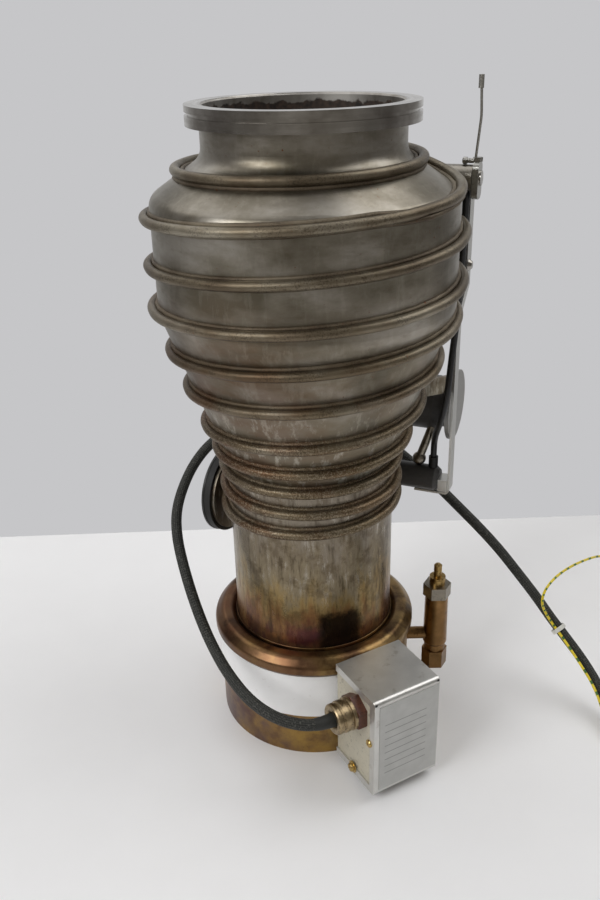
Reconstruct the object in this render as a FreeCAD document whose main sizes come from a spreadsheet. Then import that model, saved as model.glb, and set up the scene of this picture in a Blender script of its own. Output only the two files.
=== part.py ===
import FreeCAD, Part
import itertools
import math
import os
import Sketcher
from FreeCAD import Placement, Rotation, Vector

# An oil diffusion pump, in millimetres. The origin is on the pump's axis at its base, +Z is up,
# +X is to the right and +Y to the back. Three turned frames help: the side frame (x outward along
# the valve shaft), the box frame (x to the right along the terminal box) and the port frame.

doc = FreeCAD.newDocument("DiffusionPump")
sheet = doc.addObject("Spreadsheet::Sheet", "Sizes")
rows = itertools.count(1)
parts = {}


class Size:
    """A number with the spreadsheet expression that gives it."""

    def __init__(self, value, text):
        self.value = value
        self.text = text

    def __float__(self):
        return float(self.value)

    def __add__(self, other):
        other = lift(other)
        return Size(self.value + other.value, f"({self.text} + {other.text})")

    def __sub__(self, other):
        other = lift(other)
        return Size(self.value - other.value, f"({self.text} - {other.text})")

    def __mul__(self, other):
        other = lift(other)
        return Size(self.value * other.value, f"({self.text} * {other.text})")

    def __truediv__(self, other):
        other = lift(other)
        return Size(self.value / other.value, f"({self.text} / {other.text})")

    def __neg__(self):
        return Size(-self.value, f"(0 - {self.text})")

    def __rsub__(self, other):
        return lift(other) - self

    __radd__ = __add__
    __rmul__ = __mul__


def lift(amount):
    """A plain number as a Size; a Size stays as it is."""
    return amount if isinstance(amount, Size) else Size(float(amount), f"({float(amount)})")


def size(name, value):
    """Write a driving dimension into the spreadsheet and give it back as a Size."""
    row = next(rows)
    sheet.set(f"A{row}", name)
    sheet.set(f"B{row}", str(value))
    sheet.setAlias(f"B{row}", name)
    return Size(value, f"Sizes.{name}")


def sine(angle):
    return Size(math.sin(math.radians(angle.value)), f"sin({angle.text})")


def cosine(angle):
    return Size(math.cos(math.radians(angle.value)), f"cos({angle.text})")


def bind(thing, name, amount):
    """Tie a property of an object to the spreadsheet."""
    thing.setExpression(name, lift(amount).text)


def on_line(low, high, height):
    """Radius at a height of the straight wall between two (radius, height) corners."""
    return low[0] + (height - low[1]) * (high[0] - low[0]) / (high[1] - low[1])


ALONG_X = Rotation(Vector(0, 1, 0), 90)
ALONG_MINUS_X = Rotation(Vector(0, 1, 0), -90)
ALONG_Y = Rotation(Vector(1, 0, 0), -90)
UPRIGHT = Rotation()


def place(thing, x=0, y=0, z=0, lean=UPRIGHT, turn=0):
    """Stand a thing at a point of the frame that is turned about the pump's axis."""
    x, y, z, turn = lift(x), lift(y), lift(z), lift(turn)
    east = x * cosine(turn) - y * sine(turn)
    north = x * sine(turn) + y * cosine(turn)
    turning = Rotation(Vector(0, 0, 1), turn.value).multiply(lean)
    thing.Placement = Placement(Vector(east.value, north.value, z.value), turning)
    bind(thing, "Placement.Base.x", east)
    bind(thing, "Placement.Base.y", north)
    bind(thing, "Placement.Base.z", z)
    return thing


def keep(label, thing):
    """Name a finished sub-part."""
    thing.Label = label
    parts[label] = thing
    return thing


def closed_sketch(body, role, corners, shift=(0, 0, 0)):
    """A closed outline of straight lines, each corner tied to the spreadsheet."""
    sketch = body.newObject("Sketcher::SketchObject", "Outline")
    plane = next(item for item in body.Origin.OriginFeatures if item.Role == role)
    sketch.AttachmentSupport = [(plane, "")]
    sketch.MapMode = "FlatFace"
    shift = [lift(amount) for amount in shift]
    sketch.AttachmentOffset = Placement(Vector(*[amount.value for amount in shift]), UPRIGHT)
    for axis, amount in zip("xyz", shift):
        bind(sketch, f"AttachmentOffset.Base.{axis}", amount)
    corners = [(lift(across), lift(along)) for across, along in corners]
    points = [Vector(across.value, along.value, 0) for across, along in corners]
    for start, end in zip(points, points[1:] + points[:1]):
        sketch.addGeometry(Part.LineSegment(start, end))
    for index in range(len(points)):
        following = (index + 1) % len(points)
        sketch.addConstraint(Sketcher.Constraint("Coincident", index, 2, following, 1))
    for index, corner in enumerate(corners):
        for kind, axis_line, amount in zip(("DistanceX", "DistanceY"), (-2, -1), corner):
            if amount.value == 0:
                sketch.addConstraint(Sketcher.Constraint("PointOnObject", index, 1, axis_line))
            else:
                rule = Sketcher.Constraint(kind, -1, 1, index, 1, amount.value)
                number = sketch.addConstraint(rule)
                bind(sketch, f"Constraints[{number}]", amount)
    return sketch


def turned(name, outline, axis="z", centre=(0, 0), turn=0, sweep=360):
    """A body turned from (radius, along) corners about an axis through the centre."""
    body = doc.addObject("PartDesign::Body", name)
    if axis == "z":
        sketch = closed_sketch(body, "XZ_Plane", outline, (centre[0], 0, -lift(centre[1])))
    else:
        flipped = [(along, radius) for radius, along in outline]
        role, shift = {
            "x": ("XZ_Plane", (0, centre[1], -lift(centre[0]))),
            "y": ("YZ_Plane", (0, centre[1], centre[0])),
        }[axis]
        sketch = closed_sketch(body, role, flipped, shift)
    lathe = body.newObject("PartDesign::Revolution", name + "_lathe")
    lathe.Profile = sketch
    lathe.ReferenceAxis = (sketch, ["V_Axis" if axis == "z" else "H_Axis"])
    bind(lathe, "Angle", sweep)
    return place(body, turn=turn)


def padded(name, role, outline, start, thickness, turn=0):
    """A plate: an outline on a plane, pushed out along the plane's normal."""
    body = doc.addObject("PartDesign::Body", name)
    sketch = closed_sketch(body, role, outline, (0, 0, start))
    pad = body.newObject("PartDesign::Pad", name + "_pad")
    pad.Profile = sketch
    bind(pad, "Length", thickness)
    return place(body, turn=turn)


def pocketed(body, role, outline, start, depth, centred=False):
    """Take a straight-sided pocket out of a body, against the plane's normal."""
    sketch = closed_sketch(body, role, outline, (0, 0, start))
    pocket = body.newObject("PartDesign::Pocket", body.Name + "_pocket")
    pocket.Profile = sketch
    pocket.Midplane = centred
    bind(pocket, "Length", depth)
    return body


def rounded(body, radius, wanted):
    """Round the edges of a body's last feature that the test picks out."""
    doc.recompute()
    before = body.Tip
    edges = enumerate(before.Shape.Edges, 1)
    names = [f"Edge{number}" for number, edge in edges if wanted(edge)]
    fillet = body.newObject("PartDesign::Fillet", body.Name + "_round")
    fillet.Base = (before, names)
    bind(fillet, "Radius", radius)
    return body


def rings(*corners):
    """A test for the round edges at these (radius, height) corners."""
    def wanted(edge):
        if not isinstance(edge.Curve, Part.Circle):
            return False
        return any(
            abs(edge.Curve.Radius - float(radius)) < 0.01
            and abs(edge.Curve.Center.z - float(height)) < 0.01
            for radius, height in corners
        )
    return wanted


def lines_through(across, *spots):
    """A test for the straight edges along an axis that pass these spots of the other two axes."""
    def wanted(edge):
        if not isinstance(edge.Curve, Part.Line):
            return False
        middle = edge.CenterOfMass
        run = edge.Vertexes[-1].Point - edge.Vertexes[0].Point
        if abs(run.dot(across)) < 0.99 * run.Length:
            return False
        flat = middle - across * middle.dot(across)
        return any((flat - spot).Length < 0.01 for spot in spots)
    return wanted


def rod(name, radius, length, *where, **how):
    """A plain cylinder from a point, upright or leaning."""
    thing = doc.addObject("Part::Cylinder", name)
    bind(thing, "Radius", radius)
    bind(thing, "Height", length)
    return place(thing, *where, **how)


def block(name, across, along, up, *where, **how):
    """A plain box from its low corner."""
    thing = doc.addObject("Part::Box", name)
    bind(thing, "Length", across)
    bind(thing, "Width", along)
    bind(thing, "Height", up)
    return place(thing, *where, **how)


def hexagon(name, corner_radius, length, *where, **how):
    """A six-sided prism from a point, upright or leaning."""
    thing = doc.addObject("Part::Prism", name)
    thing.Polygon = 6
    bind(thing, "Circumradius", corner_radius)
    bind(thing, "Height", length)
    return place(thing, *where, **how)


def joined(name, *things):
    """One solid from several that overlap or touch."""
    whole = doc.addObject("Part::MultiFuse", name)
    whole.Shapes = list(things)
    whole.Refine = True
    return whole


def without(name, base, *tools):
    """The base with every tool taken out of it."""
    result = doc.addObject("Part::Cut", name)
    result.Base = base
    result.Tool = tools[0] if len(tools) == 1 else joined(name + "_tools", *tools)
    result.Refine = True
    return result


def common(name, first, second):
    """What two solids share."""
    result = doc.addObject("Part::Common", name)
    result.Base = first
    result.Tool = second
    result.Refine = True
    return result


def bent_edges(points, share=0.45):
    """Straight runs joined by tangent arcs, and the arcs' radii."""
    edges = []
    radii = []
    start = points[0]
    for before, corner, after in zip(points, points[1:], points[2:]):
        arriving = (corner - before).normalize()
        leaving = (after - corner).normalize()
        half_turn = arriving.getAngle(leaving) / 2
        reach = share * min((corner - before).Length, (after - corner).Length)
        radius = reach / math.tan(half_turn)
        into = corner - arriving * reach
        out = corner + leaving * reach
        inward = (leaving - arriving).normalize()
        middle = corner + inward * (radius / math.cos(half_turn) - radius)
        edges.append(Part.LineSegment(start, into).toShape())
        edges.append(Part.Arc(into, middle, out).toShape())
        radii.append(radius)
        start = out
    edges.append(Part.LineSegment(start, points[-1]).toShape())
    return edges, radii


def tube_shape(points, radius, share=0.45):
    """A round bar along bent runs, with its length and its tightest bend."""
    edges, radii = bent_edges(points, share)
    path = Part.Wire(edges)
    heading = points[1] - points[0]
    section = Part.Wire(Part.Circle(points[0], heading, float(radius)).toShape())
    solid = path.makePipeShell([section], True, False)
    return solid, path.Length, min(radii)


def feature(name, shape, turn=0):
    """An object that holds a shape made here."""
    thing = doc.addObject("Part::Feature", name)
    thing.Shape = shape
    return place(thing, turn=turn)


def report_tube(name, solid, radius, length, tightest):
    """Print a tube's length, its tightest bend and its volume against section times length."""
    ratio = solid.Volume / (math.pi * float(radius) ** 2 * length)
    print(f"{name}: length {length:.0f}, tightest bend {tightest:.1f}, volume ratio {ratio:.4f}")


# Vacuum body: inlet flange, neck, sloping shoulder, bulge, long cone and boiler tube.

body_height = size("body_height", 560)
flange_height = size("flange_height", 15)
flange_radius = size("flange_radius", 90)
throat_radius = size("throat_radius", 76.5)
flange_lip = size("flange_lip", 5)
flange_groove_width = size("flange_groove_width", 3)
flange_groove_depth = size("flange_groove_depth", 2.5)
flange_chamfer = size("flange_chamfer", 1.5)
wall = size("wall", 3)
neck_length = size("neck_length", 23.2)
shoulder_drop = size("shoulder_drop", 28.8)
bulge_radius = size("bulge_radius", 122)
bulge_length = size("bulge_length", 89)
cone_length = size("cone_length", 137)
barrel_radius = size("barrel_radius", 73.3)
shoulder_inset = size("shoulder_inset", 2)
neck_fillet = size("neck_fillet", 14)
knuckle_fillet = size("knuckle_fillet", 12)
waist_fillet = size("waist_fillet", 20)
boiler_floor_height = size("boiler_floor_height", 38)
boiler_floor_thickness = size("boiler_floor_thickness", 4)

flange_base_height = body_height - flange_height
neck_base_height = flange_base_height - neck_length
bulge_top_height = neck_base_height - shoulder_drop
bulge_base_height = bulge_top_height - bulge_length
cone_base_height = bulge_base_height - cone_length
neck_radius = throat_radius + wall
barrel_bore = barrel_radius - wall

neck_foot = (neck_radius, neck_base_height)
bulge_top = (bulge_radius, bulge_top_height)
bulge_base = (bulge_radius, bulge_base_height)
cone_base = (barrel_radius, cone_base_height)
inner_neck_foot = (throat_radius, neck_base_height - shoulder_inset)
inner_bulge_top = (bulge_radius - wall, bulge_top_height - shoulder_inset)
inner_bulge_base = (bulge_radius - wall, bulge_base_height)
inner_cone_base = (barrel_bore, cone_base_height)

groove_top = body_height - flange_lip
groove_base = groove_top - flange_groove_width
groove_radius = flange_radius - flange_groove_depth
keep("inlet_flange", turned("flange", [
    (throat_radius, flange_base_height),
    (flange_radius, flange_base_height),
    (flange_radius, groove_base),
    (groove_radius, groove_base),
    (groove_radius, groove_top),
    (flange_radius, groove_top),
    (flange_radius, body_height),
    (throat_radius + flange_chamfer, body_height),
    (throat_radius, body_height - flange_chamfer),
]))

shell = turned("shell", [
    (neck_radius, flange_base_height),
    neck_foot,
    bulge_top,
    bulge_base,
    cone_base,
    inner_cone_base,
    inner_bulge_base,
    inner_bulge_top,
    inner_neck_foot,
    (throat_radius, flange_base_height),
])
rounded(shell, neck_fillet, rings(neck_foot))
rounded(shell, neck_fillet + wall, rings(inner_neck_foot))
rounded(shell, knuckle_fillet, rings(bulge_top))
rounded(shell, knuckle_fillet - wall, rings(inner_bulge_top))
rounded(shell, waist_fillet, rings(bulge_base))
rounded(shell, waist_fillet - wall, rings(inner_bulge_base))

# The solids inside the shell's outer and inner faces trim what is fitted to them.
outer_form = turned("outer_form", [
    (0, flange_base_height), (neck_radius, flange_base_height), neck_foot, bulge_top, bulge_base,
    cone_base, (0, cone_base_height),
])
inner_form = turned("inner_form", [
    (0, flange_base_height), (throat_radius, flange_base_height), inner_neck_foot,
    inner_bulge_top, inner_bulge_base, inner_cone_base, (0, cone_base_height),
])

# The side frame: x runs out along the valve shaft and y towards the back.
side_turn = size("side_turn", -22)
shaft_depth = size("shaft_depth", 87)
shaft_rise = size("shaft_rise", 1)
shaft_radius = size("shaft_radius", 6)
running_fit = size("running_fit", 0.05)
shaft_height = bulge_top_height + shaft_rise
shaft_bore = shaft_radius + running_fit
shaft_drill = rod("shaft_drill", shaft_bore, bulge_radius, 0, shaft_depth, shaft_height,
                  lean=ALONG_X, turn=side_turn)
keep("upper_shell", without("shell_drilled", shell, shaft_drill))

# Ports through the boiler tube: backing arm, fill tube and gauge port.
arm_turn = size("arm_turn", 75)
arm_radius = size("arm_radius", 17)
arm_drop = size("arm_drop", 59)
side_tube_radius = size("side_tube_radius", 6)
side_tube_height = size("side_tube_height", 66)
port_turn = size("port_turn", 152)
port_drop = size("port_drop", 57)
port_pipe_radius = size("port_pipe_radius", 14)
arm_height = cone_base_height - arm_drop
port_height = cone_base_height - port_drop

barrel = turned("barrel", [
    (barrel_radius, boiler_floor_height),
    (barrel_radius, cone_base_height),
    (barrel_bore, cone_base_height),
    (barrel_bore, boiler_floor_height),
])
arm_drill = rod("arm_drill", arm_radius, barrel_radius, 0, 0, arm_height,
                lean=ALONG_X, turn=arm_turn)
side_drill = rod("side_drill", side_tube_radius, bulge_radius, 0, 0, side_tube_height, lean=ALONG_X)
port_drill = rod("port_drill", port_pipe_radius, barrel_radius, 0, 0, port_height,
                 lean=ALONG_X, turn=port_turn)
keep("barrel_tube", without("barrel_drilled", barrel, arm_drill, side_drill, port_drill))

# Boiler floor with the stud that holds the heater.
stud_radius = size("stud_radius", 4)
stud_length = size("stud_length", 22)
floor_base = boiler_floor_height - boiler_floor_thickness
keep("boiler_base", turned("floor", [
    (0, boiler_floor_height),
    (barrel_radius, boiler_floor_height),
    (barrel_radius, floor_base),
    (stud_radius, floor_base),
    (stud_radius, floor_base - stud_length),
    (0, floor_base - stud_length),
]))

# Isolation valve seat inside the shoulder.
seat_radius = size("seat_radius", 66)
seat_rise = size("seat_rise", 12)
seat_thickness = size("seat_thickness", 6)
seat_height = bulge_top_height + seat_rise
seat_top = seat_height + seat_thickness
keep("valve_seat", turned("seat", [
    (seat_radius, seat_height),
    (on_line(inner_bulge_top, inner_neck_foot, seat_height), seat_height),
    (on_line(inner_bulge_top, inner_neck_foot, seat_top), seat_top),
    (seat_radius, seat_top),
]))

# Heater under the boiler floor.
heater_radius = size("heater_radius", 65)
heater_thickness = size("heater_thickness", 10)
clamp_length = size("clamp_length", 100)
clamp_width = size("clamp_width", 20)
clamp_thickness = size("clamp_thickness", 6)
clamp_nut_radius = size("clamp_nut_radius", 7.5)
clamp_nut_height = size("clamp_nut_height", 5)
heater_base = floor_base - heater_thickness
clamp_base = heater_base - clamp_thickness
keep("heater_plate", turned("heater", [
    (stud_radius, heater_base),
    (heater_radius, heater_base),
    (heater_radius, floor_base),
    (stud_radius, floor_base),
]))
clamp_bar = block("clamp_bar", clamp_length, clamp_width, clamp_thickness,
                  -clamp_length / 2, -clamp_width / 2, clamp_base)
clamp_nut = hexagon("clamp_nut", clamp_nut_radius, clamp_nut_height,
                    0, 0, clamp_base - clamp_nut_height)
stud_drill = rod("stud_drill", stud_radius, boiler_floor_height)
keep("heater_clamp", without("clamp_drilled", joined("clamp", clamp_bar, clamp_nut), stud_drill))

# Insulation, jacket, rolled jacket ring, base cover and plain label band.
jacket_radius = size("jacket_radius", 91)
jacket_sheet = size("jacket_sheet", 1.2)
jacket_height = size("jacket_height", 88.4)
loose_gap = size("loose_gap", 0.3)
sleeve_base_height = size("sleeve_base_height", 4)
sleeve_top_height = size("sleeve_top_height", 95)
base_sheet = size("base_sheet", 1.5)
ring_hole_radius = size("ring_hole_radius", 75.4)
ring_lip_height = size("ring_lip_height", 103.4)
ring_crest_height = size("ring_crest_height", 107)
ring_crest_inner = size("ring_crest_inner", 79)
ring_crest_outer = size("ring_crest_outer", 88)
ring_radius = size("ring_radius", 95)
ring_side_top = size("ring_side_top", 100)
ring_side_base = size("ring_side_base", 92.5)
crest_inner_round = size("crest_inner_round", 4)
crest_outer_round = size("crest_outer_round", 7)
ring_side_round = size("ring_side_round", 5)
ring_under_round = size("ring_under_round", 2.5)
band_sheet = size("band_sheet", 0.5)
band_gap = size("band_gap", 0.2)
band_height = size("band_height", 44.9)
band_start = size("band_start", 160)
band_sweep = size("band_sweep", 125)

jacket_bore = jacket_radius - jacket_sheet
sleeve = turned("sleeve", [
    (barrel_radius + loose_gap, sleeve_base_height),
    (jacket_bore - loose_gap, sleeve_base_height),
    (jacket_bore - loose_gap, sleeve_top_height),
    (barrel_radius + loose_gap, sleeve_top_height),
])
keep("insulation_sleeve", without("sleeve_drilled", sleeve, side_drill))
jacket = turned("jacket_sheet_metal", [
    (jacket_bore, 0),
    (jacket_radius, 0),
    (jacket_radius, jacket_height),
    (jacket_bore, jacket_height),
])
keep("jacket", without("jacket_drilled", jacket, side_drill))
jacket_cap = turned("jacket_cap", [
    (ring_hole_radius, sleeve_top_height),
    (ring_hole_radius, ring_lip_height),
    (ring_crest_inner, ring_crest_height),
    (ring_crest_outer, ring_crest_height),
    (ring_radius, ring_side_top),
    (ring_radius, ring_side_base),
    (jacket_radius, jacket_height),
    (jacket_bore, jacket_height),
    (jacket_bore, sleeve_top_height),
])
rounded(jacket_cap, crest_inner_round, rings((ring_crest_inner, ring_crest_height)))
rounded(jacket_cap, crest_outer_round, rings((ring_crest_outer, ring_crest_height)))
rounded(jacket_cap, ring_side_round, rings((ring_radius, ring_side_top)))
rounded(jacket_cap, ring_under_round, rings((ring_radius, ring_side_base)))
keep("jacket_ring", jacket_cap)
keep("base_cover", turned("cover_disc", [
    (0, 0), (jacket_bore, 0), (jacket_bore, base_sheet), (0, base_sheet),
]))
keep("label_band", turned("band", [
    (jacket_radius + band_gap, jacket_height - band_height),
    (jacket_radius + band_gap + band_sheet, jacket_height - band_height),
    (jacket_radius + band_gap + band_sheet, jacket_height),
    (jacket_radius + band_gap, jacket_height),
], turn=band_start, sweep=band_sweep))

# Jet stack: three chimneys with umbrella nozzles, a top cap and the tie rod.
jet_sheet = size("jet_sheet", 1.5)
jet_foot_radius = size("jet_foot_radius", 68)
jet_foot_thickness = size("jet_foot_thickness", 3)
low_chimney_radius = size("low_chimney_radius", 46)
low_chimney_drop = size("low_chimney_drop", 137)
mid_chimney_radius = size("mid_chimney_radius", 36)
mid_chimney_drop = size("mid_chimney_drop", 62)
top_chimney_radius = size("top_chimney_radius", 24)
top_chimney_drop = size("top_chimney_drop", 5)
nozzle_gap = size("nozzle_gap", 7)
skirt_slope = size("skirt_slope", 1.1)
mid_skirt_radius = size("mid_skirt_radius", 60)
top_skirt_radius = size("top_skirt_radius", 50)
cap_skirt_radius = size("cap_skirt_radius", 42)
cap_slope = size("cap_slope", 0.6)
cap_hub_radius = size("cap_hub_radius", 8)
spacer_radius = size("spacer_radius", 1.6)
tie_rod_radius = size("tie_rod_radius", 3)
tie_nut_radius = size("tie_nut_radius", 7)
tie_nut_height = size("tie_nut_height", 6)
tie_rod_spare = size("tie_rod_spare", 4)

low_chimney_top = cone_base_height - low_chimney_drop
mid_chimney_top = cone_base_height - mid_chimney_drop
top_chimney_top = cone_base_height - top_chimney_drop


def umbrella(name, below_radius, below_top, rim_radius, slope, chimney_radius, chimney_top):
    """A chimney whose skirt hangs over the chimney below, standing on three spacers."""
    seat = below_radius - jet_sheet / 2
    underside = below_top + nozzle_gap
    rim_base = underside - (rim_radius - jet_sheet - seat) * slope
    bend = rim_base + (rim_radius - chimney_radius) * slope
    cone = turned(name + "_cone", [
        (rim_radius, rim_base),
        (chimney_radius, bend),
        (chimney_radius, chimney_top),
        (chimney_radius - jet_sheet, chimney_top),
        (chimney_radius - jet_sheet, bend),
        (rim_radius - jet_sheet, rim_base),
    ])
    spacers = [
        rod(name + "_spacer", spacer_radius, nozzle_gap + jet_sheet / 2, seat, 0, below_top,
            turn=angle)
        for angle in (0, 120, 240)
    ]
    return joined(name + "_whole", cone, *spacers)


keep("jet_lower", turned("low_chimney", [
    (jet_foot_radius, boiler_floor_height),
    (jet_foot_radius, boiler_floor_height + jet_foot_thickness),
    (low_chimney_radius, boiler_floor_height + jet_foot_thickness),
    (low_chimney_radius, low_chimney_top),
    (low_chimney_radius - jet_sheet, low_chimney_top),
    (low_chimney_radius - jet_sheet, boiler_floor_height),
]))
keep("jet_middle", umbrella("mid_jet", low_chimney_radius, low_chimney_top, mid_skirt_radius,
                            skirt_slope, mid_chimney_radius, mid_chimney_top))
keep("jet_upper", umbrella("top_jet", mid_chimney_radius, mid_chimney_top, top_skirt_radius,
                           skirt_slope, top_chimney_radius, top_chimney_top))
cap_seat = top_chimney_radius - jet_sheet / 2
cap_rim_base = top_chimney_top + nozzle_gap - (cap_skirt_radius - jet_sheet - cap_seat) * cap_slope
cap_top = cap_rim_base + (cap_skirt_radius - cap_hub_radius) * cap_slope
cap_cone = turned("cap_cone", [
    (cap_skirt_radius, cap_rim_base),
    (cap_hub_radius, cap_top),
    (tie_rod_radius, cap_top),
    (tie_rod_radius, cap_top - jet_sheet),
    (cap_hub_radius, cap_top - jet_sheet),
    (cap_skirt_radius - jet_sheet, cap_rim_base),
])
cap_spacers = [
    rod("cap_spacer", spacer_radius, nozzle_gap + jet_sheet / 2, cap_seat, 0, top_chimney_top,
        turn=angle)
    for angle in (0, 120, 240)
]
keep("jet_cap", joined("cap_whole", cap_cone, *cap_spacers))
tie_rod = rod("tie_rod", tie_rod_radius,
              cap_top + tie_nut_height + tie_rod_spare - boiler_floor_height,
              0, 0, boiler_floor_height)
tie_nut = hexagon("tie_nut", tie_nut_radius, tie_nut_height, 0, 0, cap_top)
keep("jet_tie_rod", joined("tie_rod_whole", tie_rod, tie_nut))

# Baffle above the jets, on three arms.
baffle_radius = size("baffle_radius", 64)
baffle_rise = size("baffle_rise", 51)
baffle_sheet = size("baffle_sheet", 2)
baffle_drop = size("baffle_drop", 6)
baffle_rim = size("baffle_rim", 8)
baffle_arm_width = size("baffle_arm_width", 8)
baffle_height = cone_base_height + baffle_rise
baffle_top = baffle_height + baffle_sheet
baffle_dish = turned("baffle_dish", [
    (0, baffle_height),
    (baffle_radius - baffle_rim - baffle_sheet, baffle_height),
    (baffle_radius - baffle_sheet, baffle_height - baffle_drop),
    (baffle_radius, baffle_height - baffle_drop),
    (baffle_radius - baffle_rim, baffle_top),
    (0, baffle_top),
])
baffle_arms = [
    block("baffle_arm", bulge_radius, baffle_arm_width, baffle_sheet,
          0, -baffle_arm_width / 2, baffle_top, turn=angle)
    for angle in (30, 150, 270)
]
keep("baffle", common("baffle_trimmed", joined("baffle_whole", baffle_dish, *baffle_arms),
                      inner_form))

# Isolation valve, open: the plate hangs under the shaft, its sealing face towards the axis.
plate_radius = size("plate_radius", 73)
plate_thickness = size("plate_thickness", 8)
plate_offset = size("plate_offset", 2)
seal_radius = size("seal_radius", 69.2)
seal_section = size("seal_section", 1.8)
seal_sink = size("seal_sink", 1.1)
seal_side_gap = size("seal_side_gap", 0.1)
arm_bar_width = size("arm_bar_width", 10)
arm_bar_spread = size("arm_bar_spread", 18)
arm_bar_thickness = size("arm_bar_thickness", 6)
arm_bar_reach = size("arm_bar_reach", 95)
collar_radius = size("collar_radius", 9.5)
collar_length = size("collar_length", 52)
shaft_inner_end = size("shaft_inner_end", 48)
shaft_outer_end = size("shaft_outer_end", 121)
bearing_width = size("bearing_width", 10)
bearing_depth = size("bearing_depth", 22)
bearing_drop = size("bearing_drop", 12)

plate_back = shaft_depth - plate_offset
plate_face = plate_back - plate_thickness
plate_height = shaft_height - shaft_depth
seal_depth = plate_face + seal_sink
keep("valve_plate", turned("plate", [
    (0, plate_face),
    (seal_radius - seal_section - seal_side_gap, plate_face),
    (seal_radius - seal_section - seal_side_gap, seal_depth + seal_section),
    (seal_radius + seal_section + seal_side_gap, seal_depth + seal_section),
    (seal_radius + seal_section + seal_side_gap, plate_face),
    (plate_radius, plate_face),
    (plate_radius, plate_back),
    (0, plate_back),
], axis="y", centre=(0, plate_height), turn=side_turn))

seal = doc.addObject("Part::Torus", "seal_ring")
bind(seal, "Radius1", seal_radius)
bind(seal, "Radius2", seal_section)
keep("valve_seal", place(seal, 0, seal_depth, plate_height, lean=ALONG_Y, turn=side_turn))

arm_bars = [
    block("arm_bar", arm_bar_width, arm_bar_thickness, arm_bar_reach,
          middle - arm_bar_width / 2, plate_back, shaft_height - arm_bar_reach, turn=side_turn)
    for middle in (-arm_bar_spread, arm_bar_spread)
]
collar = rod("collar", collar_radius, collar_length, -collar_length / 2, shaft_depth,
             shaft_height, lean=ALONG_X, turn=side_turn)
collar_bore = rod("collar_bore", shaft_radius, collar_length * 2, -collar_length, shaft_depth,
                  shaft_height, lean=ALONG_X, turn=side_turn)
keep("valve_arms", without("arms_bored", joined("arms", collar, *arm_bars), collar_bore))
keep("valve_shaft", rod("shaft", shaft_radius, shaft_inner_end + shaft_outer_end,
                        -shaft_inner_end, shaft_depth, shaft_height, lean=ALONG_X,
                        turn=side_turn))
bearing_block = block("bearing_block", bearing_width, bearing_depth,
                      seat_height - shaft_height + bearing_drop,
                      -shaft_inner_end, shaft_depth - bearing_depth / 2,
                      shaft_height - bearing_drop, turn=side_turn)
bearing_drill = rod("bearing_drill", shaft_bore, bulge_radius, -shaft_inner_end * 2, shaft_depth,
                    shaft_height, lean=ALONG_X, turn=side_turn)
keep("shaft_bearing", without("bearing_bored",
                              common("bearing_trimmed", bearing_block, inner_form),
                              bearing_drill))

# Shaft boss outside the shoulder, and the lever on the shaft's end.
boss_radius = size("boss_radius", 10.5)
boss_end = size("boss_end", 114.2)
hub_gap = size("hub_gap", 0.3)
hub_thickness = size("hub_thickness", 5)
hub_width = size("hub_width", 16)
hub_drop = size("hub_drop", 16.8)
hub_rise = size("hub_rise", 13)
hub_corner = size("hub_corner", 6)
lever_nut_radius = size("lever_nut_radius", 4)
lever_nut_height = size("lever_nut_height", 3.5)
lever_gap = size("lever_gap", 0.15)
lever_radius = size("lever_radius", 1.1)
lever_foot_inset = size("lever_foot_inset", 1.8)
lever_bow = size("lever_bow", 0.8)
lever_lean = size("lever_lean", 0.8)
lever_length = size("lever_length", 63.4)
lever_tip_radius = size("lever_tip_radius", 2.2)
lever_tip_length = size("lever_tip_length", 10)
lever_straight = size("lever_straight", 31.5)
lever_bend_share = 0.15

boss_start = shaft_radius * 3
boss_bar = rod("boss_bar", boss_radius, boss_end - boss_start, boss_start, shaft_depth,
               shaft_height, lean=ALONG_X, turn=side_turn)
boss_bore = rod("boss_bore", shaft_bore, boss_end, boss_start / 2, shaft_depth, shaft_height,
                lean=ALONG_X, turn=side_turn)
keep("shaft_boss", without("boss_fitted", boss_bar, outer_form, boss_bore))

hub_start = boss_end + hub_gap
hub = padded("hub", "YZ_Plane", [
    (shaft_depth - hub_width / 2, shaft_height - hub_drop),
    (shaft_depth + hub_width / 2, shaft_height - hub_drop),
    (shaft_depth + hub_width / 2, shaft_height + hub_rise),
    (shaft_depth - hub_width / 2, shaft_height + hub_rise),
], hub_start, hub_thickness)
out_x = Vector(1, 0, 0)
hub_corners = [
    Vector(0, float(shaft_depth + side * hub_width / 2), float(shaft_height + end))
    for side, end in itertools.product((-1, 1), (-hub_drop, hub_rise))
]
rounded(hub, hub_corner, lines_through(out_x, *hub_corners))
place(hub, turn=side_turn)
hub_middle = hub_start + hub_thickness / 2
lever_nut = hexagon("lever_nut", lever_nut_radius, lever_nut_height, hub_middle, shaft_depth,
                    shaft_height + hub_rise, turn=side_turn)
hub_bore = rod("hub_bore", shaft_radius, boss_end, boss_end / 2, shaft_depth, shaft_height,
               lean=ALONG_X, turn=side_turn)
keep("lever_hub", without("hub_bored", joined("hub_whole", hub, lever_nut), hub_bore))

lever_foot = shaft_height + hub_rise + lever_nut_height + lever_gap
lever_top = shaft_height + hub_rise + lever_length
lever_points = [
    Vector(float(hub_middle - lever_foot_inset), float(shaft_depth), float(lever_foot)),
    Vector(float(hub_middle + lever_bow), float(shaft_depth), float(lever_foot + lever_straight)),
    Vector(float(hub_middle - lever_lean), float(shaft_depth), float(lever_top)),
]
lever_wire = tube_shape(lever_points, lever_radius, lever_bend_share)[0]
lever_stem = feature("lever_stem", lever_wire, turn=side_turn)
lever_tip = rod("lever_tip", lever_tip_radius, lever_tip_length, hub_middle - lever_lean,
                shaft_depth, lever_top - lever_tip_length + lever_tip_radius, turn=side_turn)
keep("lever_rod", joined("lever_whole", lever_stem, lever_tip))

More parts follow.
